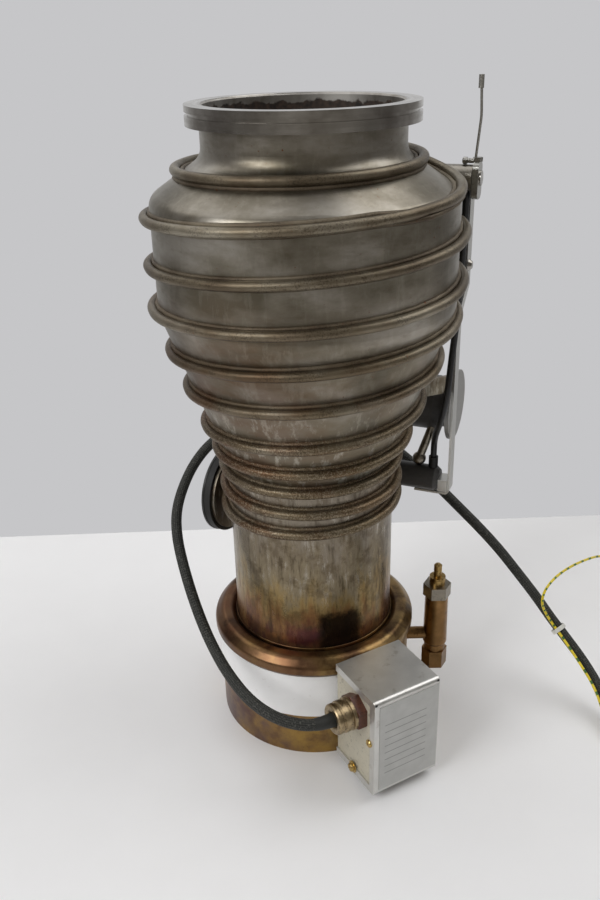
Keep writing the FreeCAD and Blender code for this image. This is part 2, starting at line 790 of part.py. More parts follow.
# Side plate: a bent sheet that carries the valve, the pull cylinder and the cable.
sheet_thickness = size("sheet_thickness", 2)
foot_reach = size("foot_reach", 72)
foot_drop = size("foot_drop", 70.7)
side_inner_face = size("side_inner_face", 104.5)
joggle_drop = size("joggle_drop", 94)
joggle_length = size("joggle_length", 28)
joggle_step = size("joggle_step", 5.5)
side_top_drop = size("side_top_drop", 10)
side_front = size("side_front", 92)
side_back = size("side_back", 107)
foot_bend = size("foot_bend", 3)
stand_radius = size("stand_radius", 3)
stand_depth = size("stand_depth", 99)
stand_drop = size("stand_drop", 75)
stand_head_radius = size("stand_head_radius", 5.5)
stand_head_height = size("stand_head_height", 3)

foot_height = cone_base_height - foot_drop
side_top = shaft_height - side_top_drop
joggle_top = shaft_height - joggle_drop
joggle_base = joggle_top - joggle_length
stand_height = shaft_height - stand_drop
side_outer_face = side_inner_face + sheet_thickness
top_inner_face = side_inner_face + joggle_step
top_outer_face = side_outer_face + joggle_step
side_sheet = padded("side_sheet", "XZ_Plane", [
    (foot_reach, foot_height - sheet_thickness),
    (side_outer_face, foot_height - sheet_thickness),
    (side_outer_face, joggle_base),
    (top_outer_face, joggle_top),
    (top_outer_face, side_top),
    (top_inner_face, side_top),
    (top_inner_face, joggle_top),
    (side_inner_face, joggle_base),
    (side_inner_face, foot_height),
    (foot_reach, foot_height),
], -side_back, side_back - side_front)
out_y = Vector(0, 1, 0)
rounded(side_sheet, foot_bend + sheet_thickness, lines_through(
    out_y, Vector(float(side_outer_face), 0, float(foot_height - sheet_thickness))))
rounded(side_sheet, foot_bend, lines_through(
    out_y, Vector(float(side_inner_face), 0, float(foot_height))))
place(side_sheet, turn=side_turn)
boss_notch = rod("boss_notch", boss_radius, boss_end, 0, shaft_depth, shaft_height,
                 lean=ALONG_X, turn=side_turn)
stand_hole = rod("stand_hole", stand_radius, boss_end, 0, stand_depth, stand_height,
                 lean=ALONG_X, turn=side_turn)
keep("side_plate", without("side_plate_drilled", side_sheet, boss_notch, stand_hole))

stand_rod = turned("stand_rod", [
    (0, 0),
    (stand_radius, 0),
    (stand_radius, top_outer_face),
    (stand_head_radius, top_outer_face),
    (stand_radius, top_outer_face + stand_head_height),
    (0, top_outer_face + stand_head_height),
], axis="x", centre=(stand_depth, stand_height), turn=side_turn)
keep("stand_off", without("stand_fitted", stand_rod, outer_form))

# Throttle valve in the backing line, with its end disc against the side plate.
valve_depth = size("valve_depth", 116)
valve_rise = size("valve_rise", 13)
valve_radius = size("valve_radius", 26)
valve_start = size("valve_start", 42)
valve_waist_radius = size("valve_waist_radius", 22.5)
valve_collar = size("valve_collar", 7)
valve_disc_radius = size("valve_disc_radius", 33.5)
valve_disc_thickness = size("valve_disc_thickness", 4)
valve_height = cone_base_height + valve_rise
valve_disc_start = side_inner_face - valve_disc_thickness
keep("valve_body", turned("valve_barrel", [
    (0, valve_start),
    (valve_waist_radius, valve_start),
    (valve_waist_radius, valve_start + valve_collar),
    (valve_radius, valve_start + valve_collar * 2),
    (valve_radius, valve_disc_start - valve_collar * 2),
    (valve_waist_radius, valve_disc_start - valve_collar),
    (valve_waist_radius, valve_disc_start),
    (0, valve_disc_start),
], axis="x", centre=(valve_depth, valve_height), turn=side_turn))
keep("valve_flange", turned("valve_disc", [
    (0, valve_disc_start),
    (valve_disc_radius, valve_disc_start),
    (valve_disc_radius, side_inner_face),
    (0, side_inner_face),
], axis="x", centre=(valve_depth, valve_height), turn=side_turn))

# Lug between the cone and the side plate.
lug_turn = size("lug_turn", 22)
lug_rise = size("lug_rise", 33)
lug_height = size("lug_height", 16)
lug_thickness = size("lug_thickness", 4)
lug_base = cone_base_height + lug_rise
lug_bar = block("lug_bar", bulge_radius * 2, lug_thickness, lug_height,
                0, -lug_thickness / 2, lug_base, turn=lug_turn)
beyond_plate = block("beyond_plate", bulge_radius * 2, bulge_radius * 3, body_height,
                     side_inner_face, -bulge_radius, 0, turn=side_turn)
disc_room = rod("disc_room", valve_disc_radius, bulge_radius, valve_disc_start, valve_depth,
                valve_height, lean=ALONG_X, turn=side_turn)
keep("lower_lug", without("lug_fitted", lug_bar, outer_form, beyond_plate, disc_room))

# Pull cylinder, its piston, the block that holds it, the cable boot and the link tube.
pull_depth = size("pull_depth", 96)
pull_radius = size("pull_radius", 12.4)
pull_start = size("pull_start", 30)
pull_end = size("pull_end", 96)
pull_end_chamfer = size("pull_end_chamfer", 4)
pull_end_step = size("pull_end_step", 3)
pull_bore = size("pull_bore", 9)
pull_bore_end = size("pull_bore_end", 88)
piston_start = size("piston_start", 36)
piston_length = size("piston_length", 20)
piston_rod_radius = size("piston_rod_radius", 3)
piston_rod_end = size("piston_rod_end", 18)
block_width = size("block_width", 16)
block_height = size("block_height", 12)
boot_reach = size("boot_reach", 89)
boot_radius = size("boot_radius", 4.5)
boot_length = size("boot_length", 23)
ball_radius = size("ball_radius", 6.5)
ball_reach = size("ball_reach", 75)
link_radius = size("link_radius", 4)
link_lean_out = size("link_lean_out", 12)
link_lean_back = size("link_lean_back", 7)

pull_height = foot_height + loose_gap + pull_radius
boot_top = pull_height + boot_length
keep("pull_cylinder", turned("pull_barrel", [
    (pull_bore, pull_start),
    (pull_radius, pull_start),
    (pull_radius, pull_end - pull_end_chamfer),
    (pull_radius - pull_end_step, pull_end),
    (0, pull_end),
    (0, pull_bore_end),
    (pull_bore, pull_bore_end),
], axis="x", centre=(pull_depth, pull_height), turn=side_turn))
piston_radius = pull_bore - running_fit
keep("pull_piston", turned("piston", [
    (0, piston_rod_end),
    (piston_rod_radius, piston_rod_end),
    (piston_rod_radius, piston_start),
    (piston_radius, piston_start),
    (piston_radius, piston_start + piston_length),
    (0, piston_start + piston_length),
], axis="x", centre=(pull_depth, pull_height), turn=side_turn))
keep("foot_block", block("foot_spacer", side_inner_face - pull_end, block_width, block_height,
                         pull_end, pull_depth - block_width / 2, foot_height + foot_bend,
                         turn=side_turn))
boot_bar = rod("boot_bar", boot_radius, boot_top - pull_height, boot_reach, pull_depth,
               pull_height, turn=side_turn)
pull_room = rod("pull_room", pull_radius, pull_end, 0, pull_depth, pull_height,
                lean=ALONG_X, turn=side_turn)
keep("cable_boot", without("boot_fitted", boot_bar, pull_room))

ball_height = pull_height + pull_radius + ball_radius
ball = doc.addObject("Part::Sphere", "link_ball")
bind(ball, "Radius", ball_radius)
place(ball, ball_reach, pull_depth, ball_height, turn=side_turn)
link_foot = Vector(float(ball_reach), float(pull_depth), float(ball_height))
link_head = Vector(float(ball_reach + link_lean_out), float(pull_depth + link_lean_back),
                   float(valve_height - valve_radius / 2))
link_solid = Part.makeCylinder(float(link_radius), (link_head - link_foot).Length, link_foot,
                               link_head - link_foot)
link_bar = feature("link_bar", link_solid, turn=side_turn)
valve_room = rod("valve_room", valve_radius, side_inner_face, 0, valve_depth, valve_height,
                 lean=ALONG_X, turn=side_turn)
keep("link_tube", without("link_fitted", joined("link", ball, link_bar), valve_room))

# Control cable from under the shaft boss down to the boot.
cable_radius = size("cable_radius", 3)
cable_reach = size("cable_reach", 109)
cable_straight = size("cable_straight", 14)
cable_top = shaft_height - boss_radius
cable_course = [
    (109, 87, 0.882), (108.4, 86.4, 0.77), (107.6, 86.6, 0.649), (106.2, 86, 0.529),
    (105, 80.5, 0.412), (104.6, 75, 0.315), (102.4, 73.4, 0.234), (97.4, 78.4, 0.165),
    (92.2, 87, 0.109),
]
cable_points = [
    Vector(float(cable_reach), float(shaft_depth), float(cable_top)),
    *[Vector(outward, back, float(boot_top + (cable_top - boot_top) * share))
      for outward, back, share in cable_course],
    Vector(float(boot_reach), float(pull_depth), float(boot_top + cable_straight)),
    Vector(float(boot_reach), float(pull_depth), float(boot_top)),
]
cable_solid, cable_run, cable_bend = tube_shape(cable_points, cable_radius)
report_tube("control_cable", cable_solid, cable_radius, cable_run, cable_bend)
cable_core = feature("cable_core", cable_solid, turn=side_turn)
keep("control_cable", without("cable_fitted", cable_core, boss_notch))

# Backing arm: radial out of the boiler tube, up, and into the throttle valve.
arm_bore = size("arm_bore", 15)
arm_across = arm_turn - side_turn
corner_reach = valve_depth * cosine(arm_across) / sine(arm_across)
start_share = (barrel_radius - wall / 2) / (valve_depth / sine(arm_across))
arm_points = [
    Vector(float(corner_reach * start_share), float(valve_depth * start_share), float(arm_height)),
    Vector(float(corner_reach), float(valve_depth), float(arm_height)),
    Vector(float(corner_reach), float(valve_depth), float(valve_height)),
    Vector(float(valve_start), float(valve_depth), float(valve_height)),
]
arm_outer = tube_shape(arm_points, arm_radius)[0]
arm_inner = tube_shape(arm_points, arm_bore)[0]
keep("backing_arm", feature("arm_pipe", arm_outer.cut(arm_inner), turn=side_turn))

# Gauge port at the left, shut by a rubber disc under a knobbed plate.
port_bore = size("port_bore", 12)
port_flange_start = size("port_flange_start", 82.2)
port_flange_thickness = size("port_flange_thickness", 2.8)
port_flange_radius = size("port_flange_radius", 37.5)
rubber_thickness = size("rubber_thickness", 6.5)
rubber_radius = size("rubber_radius", 41)
cap_plate_thickness = size("cap_plate_thickness", 2)
cap_plate_radius = size("cap_plate_radius", 41.5)
knob_radius = size("knob_radius", 6)
knob_height = size("knob_height", 5)
rubber_start = port_flange_start + port_flange_thickness
cap_start = rubber_start + rubber_thickness
knob_start = cap_start + cap_plate_thickness
keep("port_pipe", turned("port_neck", [
    (port_bore, barrel_bore),
    (port_pipe_radius, barrel_bore),
    (port_pipe_radius, port_flange_start),
    (port_flange_radius, port_flange_start),
    (port_flange_radius, rubber_start),
    (port_bore, rubber_start),
], axis="x", centre=(0, port_height), turn=port_turn))
keep("port_rubber", turned("rubber_disc", [
    (0, rubber_start), (rubber_radius, rubber_start), (rubber_radius, cap_start), (0, cap_start),
], axis="x", centre=(0, port_height), turn=port_turn))
keep("port_cap", turned("cap_plate", [
    (0, cap_start),
    (cap_plate_radius, cap_start),
    (cap_plate_radius, knob_start),
    (knob_radius, knob_start),
    (knob_radius, knob_start + knob_height),
    (0, knob_start + knob_height),
], axis="x", centre=(0, port_height), turn=port_turn))

# Fill tube at the right, with its nut, plug and drain cap.
fill_reach = size("fill_reach", 119)
fill_radius = size("fill_radius", 11.6)
fill_neck_radius = size("fill_neck_radius", 10.3)
fill_base_height = size("fill_base_height", 49)
fill_neck_top = size("fill_neck_top", 56)
fill_top_height = size("fill_top_height", 111)
fill_shoulder = size("fill_shoulder", 2)
fill_taper = size("fill_taper", 0.6)
nipple_radius = size("nipple_radius", 8)
nipple_length = size("nipple_length", 10)
fill_bore = size("fill_bore", 6.8)
fill_bore_base = size("fill_bore_base", 58)
side_tube_bore = size("side_tube_bore", 4)
fill_nut_radius = size("fill_nut_radius", 13.35)
fill_nut_height = size("fill_nut_height", 12.7)
plug_radius = size("plug_radius", 6.5)
plug_base_height = size("plug_base_height", 90)
plug_head_radius = size("plug_head_radius", 7.6)
plug_head_height = size("plug_head_height", 8.3)
stem_radius = size("stem_radius", 3.85)
stem_height = size("stem_height", 14)
stem_chamfer = size("stem_chamfer", 1.4)
stem_point = size("stem_point", 0.6)
drain_radius = size("drain_radius", 12.35)
drain_base_height = size("drain_base_height", 30)

fill_outside = turned("fill_outside", [
    (0, fill_base_height - nipple_length),
    (nipple_radius, fill_base_height - nipple_length),
    (nipple_radius, fill_base_height),
    (fill_neck_radius, fill_base_height),
    (fill_neck_radius, fill_neck_top),
    (fill_radius, fill_neck_top + fill_shoulder),
    (fill_radius - fill_taper, fill_top_height),
    (0, fill_top_height),
], centre=(fill_reach, 0))
side_tube = rod("side_tube", side_tube_radius, fill_reach - barrel_bore, barrel_bore, 0,
                side_tube_height, lean=ALONG_X)
barrel_room = rod("barrel_room", barrel_bore, body_height)
fill_drill = rod("fill_drill", fill_bore, body_height, fill_reach, 0, fill_bore_base)
side_bore = rod("side_bore", side_tube_bore, fill_reach, 0, 0, side_tube_height, lean=ALONG_X)
keep("fill_tube", without("fill_bored", joined("fill_body", fill_outside, side_tube),
                          fill_drill, side_bore, barrel_room))
fill_hex = hexagon("fill_hex", fill_nut_radius, fill_nut_height, fill_reach, 0, fill_top_height)
keep("fill_nut", without("fill_nut_bored", fill_hex, fill_drill))
nut_top = fill_top_height + fill_nut_height
head_top = nut_top + plug_head_height
keep("fill_plug", turned("plug", [
    (0, plug_base_height),
    (plug_radius, plug_base_height),
    (plug_radius, nut_top),
    (plug_head_radius, nut_top),
    (plug_head_radius, head_top),
    (stem_radius, head_top),
    (stem_radius, head_top + stem_height - stem_point - stem_chamfer),
    (stem_radius - stem_chamfer, head_top + stem_height - stem_point),
    (0, head_top + stem_height),
], centre=(fill_reach, 0)))
drain_hex = hexagon("drain_hex", drain_radius, fill_base_height - drain_base_height,
                    fill_reach, 0, drain_base_height)
drain_room = rod("drain_room", nipple_radius + loose_gap, body_height, fill_reach, 0,
                 fill_base_height - nipple_length - loose_gap)
keep("drain_cap", without("drain_bored", drain_hex, drain_room))

# Terminal box: a chassis on a spacer, and a cover sheet with lips round its open sides.
box_turn = size("box_turn", 29.4)
box_back = size("box_back", 95.6)
box_depth = size("box_depth", 61)
box_width = size("box_width", 66)
box_base = size("box_base", 8)
box_height = size("box_height", 101)
cover_sheet = size("cover_sheet", 1.5)
cover_lip = size("cover_lip", 7)
cover_bend = size("cover_bend", 4)
chassis_sheet = size("chassis_sheet", 1.2)
spacer_width = size("spacer_width", 36)
spacer_base = size("spacer_base", 24)
spacer_height = size("spacer_height", 60)
spacer_sink = size("spacer_sink", 9)

box_front = box_back + box_depth
box_top = box_base + box_height
cover = padded("cover", "YZ_Plane", [
    (-box_front, box_base), (-box_back, box_base), (-box_back, box_top), (-box_front, box_top),
], -box_width / 2, box_width)
rounded(cover, cover_bend, lines_through(
    out_x, Vector(0, -float(box_front), float(box_base)), Vector(0, -float(box_front), float(box_top))))
cover_inside = [
    (-box_front + cover_sheet, box_base + cover_sheet),
    (-box_back + cover_sheet, box_base + cover_sheet),
    (-box_back + cover_sheet, box_top - cover_sheet),
    (-box_front + cover_sheet, box_top - cover_sheet),
]
cover_window = [
    (-box_front + cover_lip, box_base + cover_lip),
    (-box_back + cover_sheet, box_base + cover_lip),
    (-box_back + cover_sheet, box_top - cover_lip),
    (-box_front + cover_lip, box_top - cover_lip),
]
pocketed(cover, "YZ_Plane", cover_inside, 0, box_width - cover_sheet * 2, centred=True)
pocketed(cover, "YZ_Plane", cover_window, 0, box_width * 2, centred=True)
keep("box_cover", place(cover, turn=box_turn))

inside_width = box_width - cover_sheet * 2
chassis_front = box_front - cover_sheet
chassis = padded("chassis", "XY_Plane", [
    (-inside_width / 2, -box_back),
    (-inside_width / 2, -chassis_front),
    (-inside_width / 2 + chassis_sheet, -chassis_front),
    (-inside_width / 2 + chassis_sheet, -box_back - chassis_sheet),
    (inside_width / 2 - chassis_sheet, -box_back - chassis_sheet),
    (inside_width / 2 - chassis_sheet, -chassis_front),
    (inside_width / 2, -chassis_front),
    (inside_width / 2, -box_back),
], box_base + cover_sheet, box_height - cover_sheet * 2, turn=box_turn)
spacer = block("spacer", spacer_width, box_back - jacket_radius + spacer_sink, spacer_height,
               -spacer_width / 2, -box_back, spacer_base, turn=box_turn)
jacket_room = rod("jacket_room", jacket_radius, body_height)
keep("box_chassis", without("chassis_fitted", joined("chassis_whole", chassis, spacer),
                            jacket_room))

# Cable gland on the box's left side.
gland_setback = size("gland_setback", 34)
gland_height = size("gland_height", 84)
gland_hex_radius = size("gland_hex_radius", 16)
gland_hex_length = size("gland_hex_length", 8.5)
gland_nut_radius = size("gland_nut_radius", 14.5)
gland_nut_length = size("gland_nut_length", 18)
gland_recess = size("gland_recess", 8)
gland_end_chamfer = size("gland_end_chamfer", 3)
gland_end_step = size("gland_end_step", 2.5)
lead_radius = size("lead_radius", 5)
gland_depth = box_back + gland_setback
gland_start = inside_width / 2
gland_shoulder = gland_start + gland_hex_length
gland_end = gland_shoulder + gland_nut_length
gland_hex = hexagon("gland_hex", gland_hex_radius, gland_hex_length, -gland_start, -gland_depth,
                    gland_height, lean=ALONG_MINUS_X, turn=box_turn)
keep("gland_spacer", gland_hex)
keep("gland_nut", turned("gland_cap", [
    (0, -gland_shoulder),
    (gland_nut_radius, -gland_shoulder),
    (gland_nut_radius, -gland_end + gland_end_chamfer),
    (gland_nut_radius - gland_end_step, -gland_end),
    (lead_radius + loose_gap, -gland_end),
    (lead_radius + loose_gap, -gland_end + gland_recess),
    (0, -gland_end + gland_recess),
], axis="x", centre=(-gland_depth, gland_height), turn=box_turn))

# Terminal block, rating plate and earth screw.
terminal_width = size("terminal_width", 42)
terminal_depth = size("terminal_depth", 16)
terminal_height = size("terminal_height", 18)
terminal_base = size("terminal_base", 34)
plate_left = size("plate_left", 28)
plate_right = size("plate_right", 32)
plate_base = size("plate_base", 13.5)
plate_top = size("plate_top", 103.5)
plate_sheet = size("plate_sheet", 0.6)
earth_setback = size("earth_setback", 27.8)
earth_height = size("earth_height", 14.4)
washer_radius = size("washer_radius", 5.5)
washer_thickness = size("washer_thickness", 1)
screw_radius = size("screw_radius", 3.9)
screw_height = size("screw_height", 2.8)
keep("terminal_block", block("terminal", terminal_width, terminal_depth, terminal_height,
                             -terminal_width / 2, -box_back - chassis_sheet - terminal_depth,
                             terminal_base, turn=box_turn))
keep("rating_plate", block("bare_plate", plate_left + plate_right, plate_sheet,
                           plate_top - plate_base, -plate_left, -box_front - plate_sheet,
                           plate_base, turn=box_turn))
lip_face = box_width / 2
keep("earth_screw", turned("screw", [
    (0, -lip_face),
    (washer_radius, -lip_face),
    (washer_radius, -lip_face - washer_thickness),
    (screw_radius, -lip_face - washer_thickness),
    (screw_radius, -lip_face - washer_thickness - screw_height),
    (0, -lip_face - washer_thickness - screw_height),
], axis="x", centre=(-box_back - earth_setback, earth_height), turn=box_turn))

# Cooling coil: twelve points to a turn on the body's outer wall, with its end fittings.
coil_radius = size("coil_radius", 4)
coil_gap = size("coil_gap", 0.3)
coil_inlet_rise = size("coil_inlet_rise", 37)
coil_outlet_drop = size("coil_outlet_drop", 41)
turn_steps = 12
coil_start = -0.25
coil_end = 10 + 8 / 12
above_bulge = [(-0.25, 27.5), (0, 26), (0.5, 20), (11 / 12, 18.5), (1, 7)]
down_body = [
    (1.5, 0.934), (2, 0.872), (2.5, 0.77), (3, 0.704), (3.5, 0.619), (4, 0.571), (4.5, 0.46),
    (5, 0.407), (5.5, 0.314), (6, 0.239), (6.5, 0.159), (7, 0.102), (7.5, 0.058),
]
below_cone = [
    (8, 0), (8.5, 5), (9, 21), (9.5, 24), (10, 37), (10.5, 46), (10 + 7 / 12, 36.6),
    (10 + 8 / 12, 39),
]
coil_levels = [
    *[(turns, float(bulge_top_height + rise)) for turns, rise in above_bulge],
    *[(turns, float(cone_base_height + (bulge_top_height - cone_base_height) * share))
      for turns, share in down_body],
    *[(turns, float(cone_base_height - drop)) for turns, drop in below_cone],
]
outer_walls = [neck_foot, bulge_top, bulge_base, cone_base]


def coil_level(turns):
    """Height of the coil after so many turns from the right-hand side."""
    for (low, low_level), (high, high_level) in zip(coil_levels, coil_levels[1:]):
        if turns <= high + 1e-9:
            break
    return low_level + (turns - low) * (high_level - low_level) / (high - low)


def coil_reach(level):
    """Distance of the tube's centre from the axis, clear of the wall at this height."""
    stand = float(coil_radius + coil_gap)
    for high, low in zip(outer_walls, outer_walls[1:]):
        if level >= float(low[1]):
            slope = float((high[0] - low[0]) / (high[1] - low[1]))
            on_wall = float(on_line(low, high, level))
            return on_wall + stand * math.hypot(1, slope)
    return float(barrel_radius) + stand


def coil_point(turns):
    """A corner of the coil's route, outside the circle that its arcs follow."""
    level = coil_level(turns)
    reach = coil_reach(level) / math.cos(math.pi / turn_steps)
    angle = -turns * 2 * math.pi
    return Vector(reach * math.cos(angle), reach * math.sin(angle), level)


coil_count = round((coil_end - coil_start) * turn_steps)
coil_points = [
    Vector(-30, 112, float(bulge_top_height + coil_inlet_rise)),
    *[coil_point(coil_start + step / turn_steps) for step in range(coil_count + 1)],
    Vector(-30, 92, float(cone_base_height - coil_outlet_drop)),
]
coil_solid, coil_run, coil_bend = tube_shape(coil_points, coil_radius)
report_tube("cooling_coil", coil_solid, coil_radius, coil_run, coil_bend)
keep("cooling_coil", feature("coil_tube", coil_solid))

fitting_radius = size("fitting_radius", 5.6)
fitting_length = size("fitting_length", 7)
tail_length = size("tail_length", 8)
tail_bore = size("tail_bore", 2.5)


def coil_fitting(name, end, outward):
    """A hexagon nut with a hose tail, standing on an end face of the coil."""
    standing = Rotation(Vector(0, 0, 1), outward)
    hexagonal = hexagon(name + "_hex", fitting_radius, fitting_length)
    tail = rod(name + "_tail", coil_radius, fitting_length + tail_length)
    bore = rod(name + "_bore", tail_bore, fitting_length + tail_length)
    fitting = without(name + "_whole", joined(name + "_body", hexagonal, tail), bore)
    fitting.Placement = Placement(end, standing)
    return fitting


keep("coil_inlet_nut", coil_fitting("inlet_fitting", coil_points[0],
                                    coil_points[0] - coil_points[1]))
keep("coil_outlet_nut", coil_fitting("outlet_fitting", coil_points[-1],
                                     coil_points[-1] - coil_points[-2]))

# Main lead: out of the gland, round behind the pump and down to the table at the right.
box_angle = math.radians(float(box_turn))
box_right = Vector(math.cos(box_angle), math.sin(box_angle), 0)
box_outward = Vector(math.sin(box_angle), -math.cos(box_angle), 0)
lead_exit = (
    box_outward * float(gland_depth)
    - box_right * float(gland_end - gland_recess)
    + Vector(0, 0, float(gland_height))
)
lead_coil_centre = Vector(334, -172, 0)
lead_coil_radius = size("lead_coil_radius", 55)
lead_coil_half_width = size("lead_coil_half_width", 10)
lead_coil_height = size("lead_coil_height", 20)
lead_coil_corner = size("lead_coil_corner", 5)
lead_coil_outside = lead_coil_radius + lead_coil_half_width
entry_angle = math.radians(122)
entry_way = Vector(math.cos(entry_angle), math.sin(entry_angle), 0)
entry_height = Vector(0, 0, float(lead_radius) + 1)
lead_end = lead_coil_centre + entry_way * float(lead_coil_outside) + entry_height
lead_points = [
    lead_exit,
    lead_exit - box_right * 16,
    Vector(-9.5, -148.8, 85.5),
    Vector(-26.5, -147.3, 89),
    Vector(-43, -139.8, 93),
    Vector(-57.5, -126.5, 96),
    Vector(-70, -109, 99),
    Vector(-83, -89, 105),
    Vector(-97, -66, 119),
    Vector(-110, -41, 139),
    Vector(-121, -15, 161),
    Vector(-128, 8, 177),
    Vector(-130.5, 31, 190),
    Vector(-126, 53, 204),
    Vector(-116, 74, 220),
    Vector(-100, 93, 234),
    Vector(-76, 111, 243),
    Vector(-46, 125, 248),
    Vector(-14, 135, 247),
    Vector(20, 141, 240),
    Vector(54, 137, 228),
    Vector(84, 123, 213),
    Vector(109, 102, 198),
    Vector(130, 83, 183),
    Vector(149, 69, 167),
    Vector(168, 58, 150),
    Vector(187, 47, 131),
    Vector(204, 36, 111),
    Vector(221, 24, 91),
    Vector(235, 10, 73),
    Vector(249, -3, 57),
    Vector(262, -16, 42),
    Vector(273, -34, 27),
    Vector(280, -55, 14.5),
    Vector(283.5, -77, 8),
    lead_end + entry_way * 21,
    lead_end,
]
lead_solid, lead_run, lead_bend = tube_shape(lead_points, lead_radius)
report_tube("lead", lead_solid, lead_radius, lead_run, lead_bend)
keep("lead", feature("lead_run", lead_solid))

coil_inside = lead_coil_radius - lead_coil_half_width
hank = turned("hank", [
    (coil_inside, 0),
    (lead_coil_outside, 0),
    (lead_coil_outside, lead_coil_height),
    (coil_inside, lead_coil_height),
])
rounded(hank, lead_coil_corner, rings((coil_inside, 0), (lead_coil_outside, 0),
                                      (coil_inside, lead_coil_height),
                                      (lead_coil_outside, lead_coil_height)))
keep("lead_coil", place(hank, lead_coil_centre.x, lead_coil_centre.y, 0))

# Plain mains plug lying beside the coil.
plug_length = size("plug_length", 42)
plug_width = size("plug_width", 34)
plug_height = size("plug_height", 26)
plug_nose_width = size("plug_nose_width", 14)
plug_angle = size("plug_angle", -50)
plug_body = padded("plug_body", "XY_Plane", [
    (lead_coil_outside, -plug_nose_width / 2),
    (lead_coil_outside + plug_length / 2, -plug_width / 2),
    (lead_coil_outside + plug_length, -plug_width / 2),
    (lead_coil_outside + plug_length, plug_width / 2),
    (lead_coil_outside + plug_length / 2, plug_width / 2),
    (lead_coil_outside, plug_nose_width / 2),
], 0, plug_height)
plug_turn = Rotation(Vector(0, 0, 1), float(plug_angle))
keep("lead_plug", place(plug_body, lead_coil_centre.x, lead_coil_centre.y, 0, lean=plug_turn))

# Earth wire held to the lead by a cable tie.
earth_radius = size("earth_radius", 1.25)
tie_point = 29
tie_sheet = size("tie_sheet", 1.2)
tie_width = size("tie_width", 4)
along_lead = (lead_points[tie_point + 1] - lead_points[tie_point]).normalize()
lead_middle = (lead_points[tie_point] + lead_points[tie_point + 1]) * 0.5
toward_wire = Vector(-0.49, -0.84, 0.25)
toward_wire = (toward_wire - along_lead * toward_wire.dot(along_lead)).normalize()
wire_middle = lead_middle + toward_wire * float(lead_radius + earth_radius + 0.05)
earth_points = [
    Vector(281, -119, 1.3),
    Vector(274, -99, 1.6),
    Vector(272, -79, 7),
    Vector(272, -60, 17),
    Vector(267, -42, 31),
    Vector(256, -25, 46),
    wire_middle + along_lead * 7,
    wire_middle - along_lead * 7 + toward_wire * 0.2,
    Vector(226, 1, 86),
    Vector(221, -0.5, 98),
    Vector(223.5, 4, 109),
    Vector(235, 16.5, 114.5),
    Vector(254, 38, 112),
    Vector(278, 64, 104),
    Vector(304, 92, 92),
    Vector(330, 118, 74),
    Vector(354, 137, 51),
    Vector(372, 150, 27),
    Vector(384, 161, 9),
    Vector(397, 176, 1.6),
    Vector(411, 196, 1.3),
]
earth_solid, earth_run, earth_bend = tube_shape(earth_points, earth_radius)
report_tube("earth_wire", earth_solid, earth_radius, earth_run, earth_bend)
keep("earth_wire", feature("earth_run", earth_solid))

tie_radius = float(lead_radius + earth_radius)
tie_middle = lead_middle + toward_wire * float(earth_radius) - along_lead * float(tie_width / 2)
tie_outside = Part.makeCylinder(tie_radius + float(tie_sheet), float(tie_width), tie_middle,
                                along_lead)
tie_hole = Part.makeCylinder(tie_radius + float(loose_gap), float(tie_width) * 3,
                             tie_middle - along_lead * float(tie_width), along_lead)
keep("cable_tie", feature("tie_loop", tie_outside.cut(tie_hole)))


# Check every object and write one file for each sub-part.

doc.recompute()
for thing in doc.Objects:
    if "Invalid" in thing.State or "Error" in thing.State:
        raise RuntimeError(f"{thing.Label} has failed: {thing.State}")
os.makedirs("parts", exist_ok=True)
for label, thing in parts.items():
    shape = thing.Shape
    if shape.isNull() or not shape.isValid() or not shape.Solids:
        raise RuntimeError(f"{label} has no sound shape")
    shape.exportStep(f"parts/{label}.step")
print(f"{len(parts)} sub-parts written")
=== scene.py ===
# %% [markdown]
# An oil diffusion pump
#
# The pump is a flared stainless-steel body with a spiral cooling tube, a boiler tube that the
# heater has tinted gold and purple, a bronze jacket ring, a terminal box and a lever-worked valve.
# The solids come from the construction model. This script gives every surface its finish, adds the
# cords, the brazing fillets, the gland and the screws, and sets up the camera and the studio.

# %% Load the construction model
import bpy
import math
import random
from mathutils import Matrix, Vector


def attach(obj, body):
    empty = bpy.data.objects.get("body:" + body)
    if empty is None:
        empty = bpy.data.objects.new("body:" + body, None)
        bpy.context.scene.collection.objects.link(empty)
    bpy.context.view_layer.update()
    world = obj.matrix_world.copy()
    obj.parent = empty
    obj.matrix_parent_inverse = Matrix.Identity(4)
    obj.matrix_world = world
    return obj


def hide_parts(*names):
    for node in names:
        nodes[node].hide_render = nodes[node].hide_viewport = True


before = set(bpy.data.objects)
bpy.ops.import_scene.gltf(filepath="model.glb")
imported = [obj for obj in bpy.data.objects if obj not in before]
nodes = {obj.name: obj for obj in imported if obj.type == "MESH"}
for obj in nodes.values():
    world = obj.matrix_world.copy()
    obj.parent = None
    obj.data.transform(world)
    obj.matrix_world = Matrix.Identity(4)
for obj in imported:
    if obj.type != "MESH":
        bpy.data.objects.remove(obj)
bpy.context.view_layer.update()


# %% [markdown]
# Every size of the real pump was taken in millimetres, and Blender works in metres. Each number
# could be divided where it stands. One helper does it everywhere, so that the numbers in this
# script are the ones on a drawing.

# %% Millimetres
def mm(*values):
    """Millimetres as metres: one number, or a vector of them."""
    scaled = [value / 1000 for value in values]
    return scaled[0] if len(scaled) == 1 else Vector(scaled)


print("10 mm are", mm(10), "m")


# %% [markdown]
# The camera stands where the photograph was taken from: in front of the pump, a little above its
# flange, tilted down 25.6 degrees and rolled 1.5 degrees. It could be set by eye. Its place and
# lens were worked out from the flange's rims, the body's outline and the base instead, so that the
# render can be laid over the photograph.

